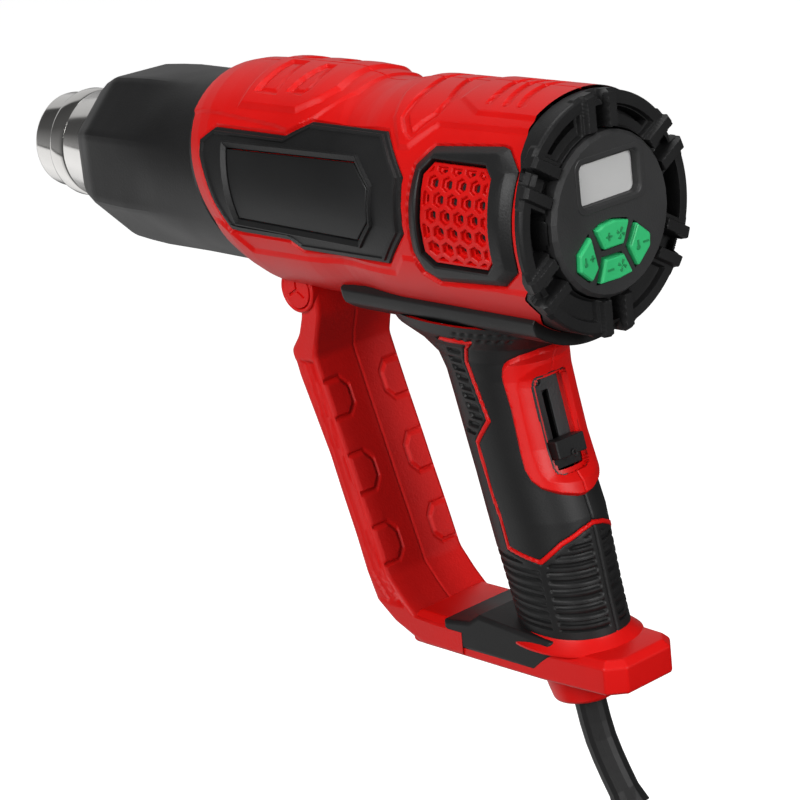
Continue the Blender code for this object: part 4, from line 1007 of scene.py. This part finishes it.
# ---- rear cap -------------------------------------------------------------------------
def cap_face(r, angle):
    """The cap's rear face as x, by distance from the axis and angle from the top."""
    sector = (angle + 30.0) % 60.0 - 30.0
    off = r * np.sin(np.radians(sector))
    reach = r * np.cos(np.radians(sector))
    x = np.full(r.shape, -43.2)
    middle = (angle // 60.0).astype(int)
    # the floor of each arc between two pairs of ribs: depth and inner radius
    floors = np.array([-41.6, -37.0, -41.4, -41.4, -36.0, -41.6])[middle]
    inside = np.minimum(np.minimum(r - 26.9, 33.8 - r), np.abs(off) - 8.0)
    x += (floors + 43.2) * np.clip(inside / 0.5, 0, 1)
    # a slot curving through the upper floors
    slot = np.minimum(np.minimum(r - 30.6, 32.9 - r), np.abs(off) - 9.6)
    x += 4.0 * np.clip(slot / 0.4, 0, 1) * np.isin(middle, (0, 5))
    # on the left a flat plate stands between the disc and a narrow upright groove
    y = r * np.sin(np.radians(angle))
    z = np.abs(r * np.cos(np.radians(angle)) + 0.2)
    plate = np.minimum(24.4 - y, 17.5 - z)
    x = np.where((middle == 1) & (y > 0), x + (-43.6 - x) * np.clip(plate / 0.4, 0, 1), x)
    gap = np.minimum(0.9 - np.abs(y - 25.6), 16.6 - z)
    x = np.where(middle == 1, x + (-37.0 - x) * np.clip(gap / 0.4, 0, 1), x)
    # ribs in pairs with a slot between them
    rib = np.minimum(2.15 - np.abs(np.abs(off) - 4.7), reach - 26.0)
    x = x + (-45.0 - x) * np.clip(rib / 0.45, 0, 1)
    split = np.minimum(2.45 - np.abs(off), reach - 26.4)
    x = x + (-39.8 - x) * np.clip(split / 0.35, 0, 1)
    return x


def rear_cap():
    half = np.linspace(0.0, 360.0, 901)[:-1]
    low = folded(half)
    front = np.interp(low, [p[0] for p in REAR_EDGE], [p[1] for p in REAR_EDGE]) - 0.25
    sector = (half + 30.0) % 60.0 - 30.0
    off = 38.0 * np.sin(np.radians(sector))
    rib = np.clip((2.15 - np.abs(np.abs(off) - 4.7)) / 0.45, 0, 1)
    split = np.clip((2.45 - np.abs(off)) / 0.35, 0, 1)
    pad = np.clip((10.2 - np.abs(off)) / 0.9, 0, 1)
    rows = [around(front, half, np.full(half.shape, 34.0)), around(front, half, np.full(half.shape, 37.5)),
            around(front - 0.4, half, np.full(half.shape, 37.9))]
    for t in np.linspace(0.12, 1, 12):
        x = front - 0.4 + (-42.2 - front + 0.4) * t
        r = 37.85 + 0.5 * pad * np.clip((-39.6 - x) / 0.6, 0, 1) - 3.2 * split * (x < -40.2)
        rows.append(around(x, half, r))
    for depth, r in ((-42.8, 37.5), (-43.2, 37.0)):
        x = np.full(half.shape, depth) - 1.0 * rib
        rr = r + 1.1 * rib - 3.2 * split
        rows.append(around(x, half, rr))
    for r in np.linspace(36.8, 26.7, 38):
        x = cap_face(np.full(half.shape, r), half)
        rr = r + (0.7 * rib * (r - 26.7) / 10.1)
        rows.append(around(x, half, rr))
    rows.append(around(np.full(half.shape, -40.0), half, np.full(half.shape, 26.55)))
    rows.append(around(np.full(half.shape, -34.0), half, np.full(half.shape, 26.55)))
    skin("rear_cap", np.array(rows), "black_shell", "black_shell", wrap_v=True, sharp=32, hides=("rear_cap",))


# ---- collar and steel tubes -----------------------------------------------------------
COLLAR = [
    (113.7, 29.8, 0.0, 0.36), (113.7, 32.4, 0.0, 0.36), (114.3, 32.9, 0.0, 0.35), (125.0, 32.4, 0.1, 0.24),
    (140.0, 31.9, 0.35, 0.10), (150.0, 31.6, 0.7, 0.04), (160.0, 31.4, 0.95, 0.0), (170.0, 30.9, 1.0, 0.0),
    (178.0, 30.3, 1.0, 0.0), (180.0, 29.8, 1.0, 0.0), (186.0, 27.2, 1.0, 0.0), (190.6, 24.4, 1.0, 0.0),
    (191.6, 23.6, 1.0, 0.0), (192.0, 22.8, 1.0, 0.0), (192.0, 20.9, 0.5, 0.0), (191.4, 20.3, 0.0, 0.0),
    (180.0, 20.2, 0.0, 0.0)]


def collar():
    angle = np.arange(0.0, 360.0, 1.5)
    off = (angle + 22.5) % 45.0 - 22.5
    flat = 0.965 / np.cos(np.radians(off))
    flat -= 0.010 * np.clip((np.abs(off) - 19.5) / 3.0, 0, 1)
    rows = []
    for (x0, r0, f0, l0), (x1, r1, f1, l1) in zip(COLLAR, COLLAR[1:]):
        steps = max(1, int(abs(x1 - x0) / 2.0))
        for k in range(steps):
            t = k / steps
            x, r, f, lean = (a + (b - a) * t for a, b in ((x0, x1), (r0, r1), (f0, f1), (l0, l1)))
            radius = r * (1 + f * (flat - 1))
            rows.append(around(x + lean * radius * np.cos(np.radians(angle)), angle, radius))
    skin("front_collar", np.array(rows), "black_shell", "black_shell", wrap_v=True, sharp=16,
         hides=("front_collar",))


def turned(name, profile, look, slot, hides=(), sharp=30.0, body=BODY):
    angle = np.linspace(0, 360, 121)[:-1]
    rows = [around(np.full(angle.shape, x), angle, np.full(angle.shape, r)) for x, r in profile]
    return skin(name, np.array(rows), look, slot, wrap_v=True, sharp=sharp, hides=hides, body=body)


def steel_tubes():
    turned("nozzle_tube", [
        (112.0, 19.0), (112.0, 19.85), (150.0, 19.85), (205.4, 19.85), (206.0, 19.55), (206.6, 19.85),
        (212.9, 19.85),
        (213.8, 19.65), (214.3, 19.2), (214.4, 18.6), (214.3, 18.0), (213.6, 17.8)],
        "polished_steel", "polished_steel", hides=("nozzle_tube",), sharp=50)
    turned("outlet_tube", [
        (210.0, 17.4), (216.0, 17.45), (224.6, 17.45), (225.3, 17.3), (225.6, 17.0), (225.4, 16.75),
        (224.8, 16.6),
        (150.0, 16.6)], "polished_steel", "polished_steel", hides=("outlet_tube",), sharp=50)


# ---- keys' marks ----------------------------------------------------------------------
def bar(y, z, wide, tall):
    return [(y - wide / 2, z - tall / 2), (y + wide / 2, z - tall / 2), (y + wide / 2, z + tall / 2),
            (y - wide / 2, z + tall / 2)]


def fan_glyph(y, z, size):
    blades = []
    for k in range(4):
        a = pi / 2 * k + 0.3
        blades.append([(y + size * r * cos(a + turn), z + size * r * sin(a + turn))
                       for r, turn in ((0.08, 0.0), (0.6, -0.35), (1.0, -0.1), (0.95, 0.45), (0.5, 0.3))])
    return blades


def drop_glyph(y, z, size):
    """A thermometer: a bulb under a stem."""
    bulb = [(y + 0.55 * size * cos(pi * k / 5), z - 0.5 * size + 0.55 * size * sin(pi * k / 5)) for k in range(10)]
    return [bulb, bar(y, z + 0.45 * size, 0.5 * size, 1.3 * size)]


MARKS = {
    "button_fan_up": fan_glyph(-0.9, 92.1, 2.0) + [bar(4.4, 92.1, 2.6, 0.7), bar(4.4, 92.1, 0.7, 2.6)],
    "button_fan_down": fan_glyph(-0.4, 82.0, 2.0) + [bar(4.8, 81.7, 2.8, 0.7)],
    "button_temperature_up": drop_glyph(15.4, 86.6, 1.4) + [bar(12.4, 87.2, 2.2, 0.6),
                                                            bar(12.4, 87.2, 0.6, 2.2)],
    "button_temperature_down": drop_glyph(-8.3, 86.4, 1.5) + [bar(-11.9, 86.8, 2.5, 0.7)],
}


def key_marks():
    for name, outlines in MARKS.items():
        shape = bmesh.new()
        for outline in outlines:
            low = [shape.verts.new(Vector((-47.2, y, z)) * MM) for y, z in outline]
            high = [shape.verts.new(Vector((-47.62, y, z)) * MM) for y, z in outline]
            n = len(outline)
            for k in range(n):
                shape.faces.new((low[k], low[(k + 1) % n], high[(k + 1) % n], high[k]))
            shape.faces.new(high)
            shape.faces.new(low[::-1])
        bmesh.ops.recalc_face_normals(shape, faces=shape.faces)
        mesh = bpy.data.meshes.new(name + "_mark")
        shape.to_mesh(mesh)
        shape.free()
        mark = place_mesh(name + "_mark", mesh, "green_dark", "green_rubber", body=name + "_key", sharp=30)
        beveled(mark, 0.12)


# ---- display frame and small marks ----------------------------------------------------
def rounded_rectangle(y0, y1, z0, z1, radius, steps=7):
    points = []
    for cy, cz, start in ((y1 - radius, z1 - radius, 0.0), (y0 + radius, z1 - radius, 90.0),
                          (y0 + radius, z0 + radius, 180.0), (y1 - radius, z0 + radius, 270.0)):
        for k in range(steps):
            a = radians(start + 90.0 * k / (steps - 1))
            points.append((cy + radius * cos(a), cz + radius * sin(a)))
    return points


def display_frame():
    levels = [
        (-1.5, -45.3), (-1.5, -45.7), (-1.3, -45.82), (0.0, -45.82), (0.35, -45.6), (0.7, -45.0),
        (0.75, -42.8)]
    sections = []
    for inset, x in levels:
        ring = rounded_rectangle(-13.7 + inset, 13.7 - inset, 101.9 + inset, 116.5 - inset, 2.6 - 0.5 * inset)
        sections.append([(x, y, z) for y, z in ring])
    loft("display_frame", sections, "console_black", "black_shell", caps=False, sharp=25.0)


def ring_mark(name, centre, radius, body):
    """A small raised ring square to the switch's slide."""
    lean = radians(12.2)
    sections = []
    for k in range(28):
        a = 2 * pi * k / 28
        out = []
        for r, h in ((radius, 0.0), (radius + 0.12, 0.2), (radius + 0.42, 0.2), (radius + 0.54, 0.0)):
            across, up = 0.75 * r * cos(a), r * sin(a)
            out.append((centre[0] + up * sin(lean) - h * cos(lean), centre[1] + across,
                        centre[2] + up * cos(lean) + h * sin(lean)))
        sections.append(out)
    loft(name, sections, "mark", "black_shell", caps=False, closed=True, body=body)


# ---- CAD nodes that keep their shape --------------------------------------------------
KEPT = {
    "console_black": ("control_console",),
    "black_shell": ("front_collar", "rear_cap", "motor_mount", "fan_rotor", "vent_frame_left",
                    "vent_frame_right", "side_panel_left", "side_panel_right", "switch_body",
                    "switch_slider"),
    "black_smooth": ("label_plate_left", "label_plate_right"),
    "red_shell": ("vent_grille_left", "vent_grille_right", "guard_boss_cap_left",
                  "guard_boss_cap_right"),
    "black_rubber": ("grip_cover_left", "grip_cover_right", "cord_sleeve", "coil_tie", "plug_body"),
    "switch_plate": ("switch_plate",),
    "green_rubber": ("button_temperature_up", "button_temperature_down", "button_fan_up", "button_fan_down"),
    "display_glass": ("display_lens",),
    "polished_steel": ("nozzle_tube", "outlet_tube"),
    "mica": ("mica_tube",),
    "ceramic": ("heater_core", "heater_flange"),
    "heater_wire": ("heater_coil",),
    "zinc_steel": ("motor_body", "housing_screw_1", "housing_screw_2", "housing_screw_3", "housing_screw_4"),
    "circuit_board": ("control_board",),
    "white_plastic": ("display_module", "cord_clamp"),
    "plated_brass": ("plug_pin_1", "plug_pin_2"),
}


def dress_nodes():
    for look, names in KEPT.items():
        for name in names:
            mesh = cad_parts[name].data
            mesh.materials.clear()
            mesh.materials.append(MATERIALS[look])
    for name, width in SOFTENED.items():
        soften(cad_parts[name], width)


SOFTENED = {
    "control_console": 0.5, "switch_slider": 0.5, "switch_plate": 0.3,
    "guard_boss_cap_left": 0.25, "guard_boss_cap_right": 0.25, "cord_sleeve": 0.3, "coil_tie": 0.5,
    "plug_body": 0.5, "button_temperature_up": 0.4, "button_temperature_down": 0.4, "button_fan_up": 0.4,
    "button_fan_down": 0.4, "display_lens": 0.2,
}


def soften(thing, width):
    """Rounded edges on a CAD node, by modifiers."""
    weld = thing.modifiers.new("weld", "WELD")
    weld.merge_threshold = 1e-6
    beveled(thing, width, 3, 30.0)


# ---- main ---------------------------------------------------------------------------
camera()
studio()
floor()
dress_nodes()
mains_cord()
barrel()
guard()
foot()
boss_ring()
grip()
bezel()
belly()
saddle()
side_inserts()
rear_cap()
collar()
steel_tubes()
key_marks()
display_frame()
ring_mark("switch_plate_mark", (-9.0, 2.6, 39.6), 1.1, BODY)
ring_mark("switch_knob_mark", (-20.35, 0.0, 16.6), 0.9, "slide_switch")
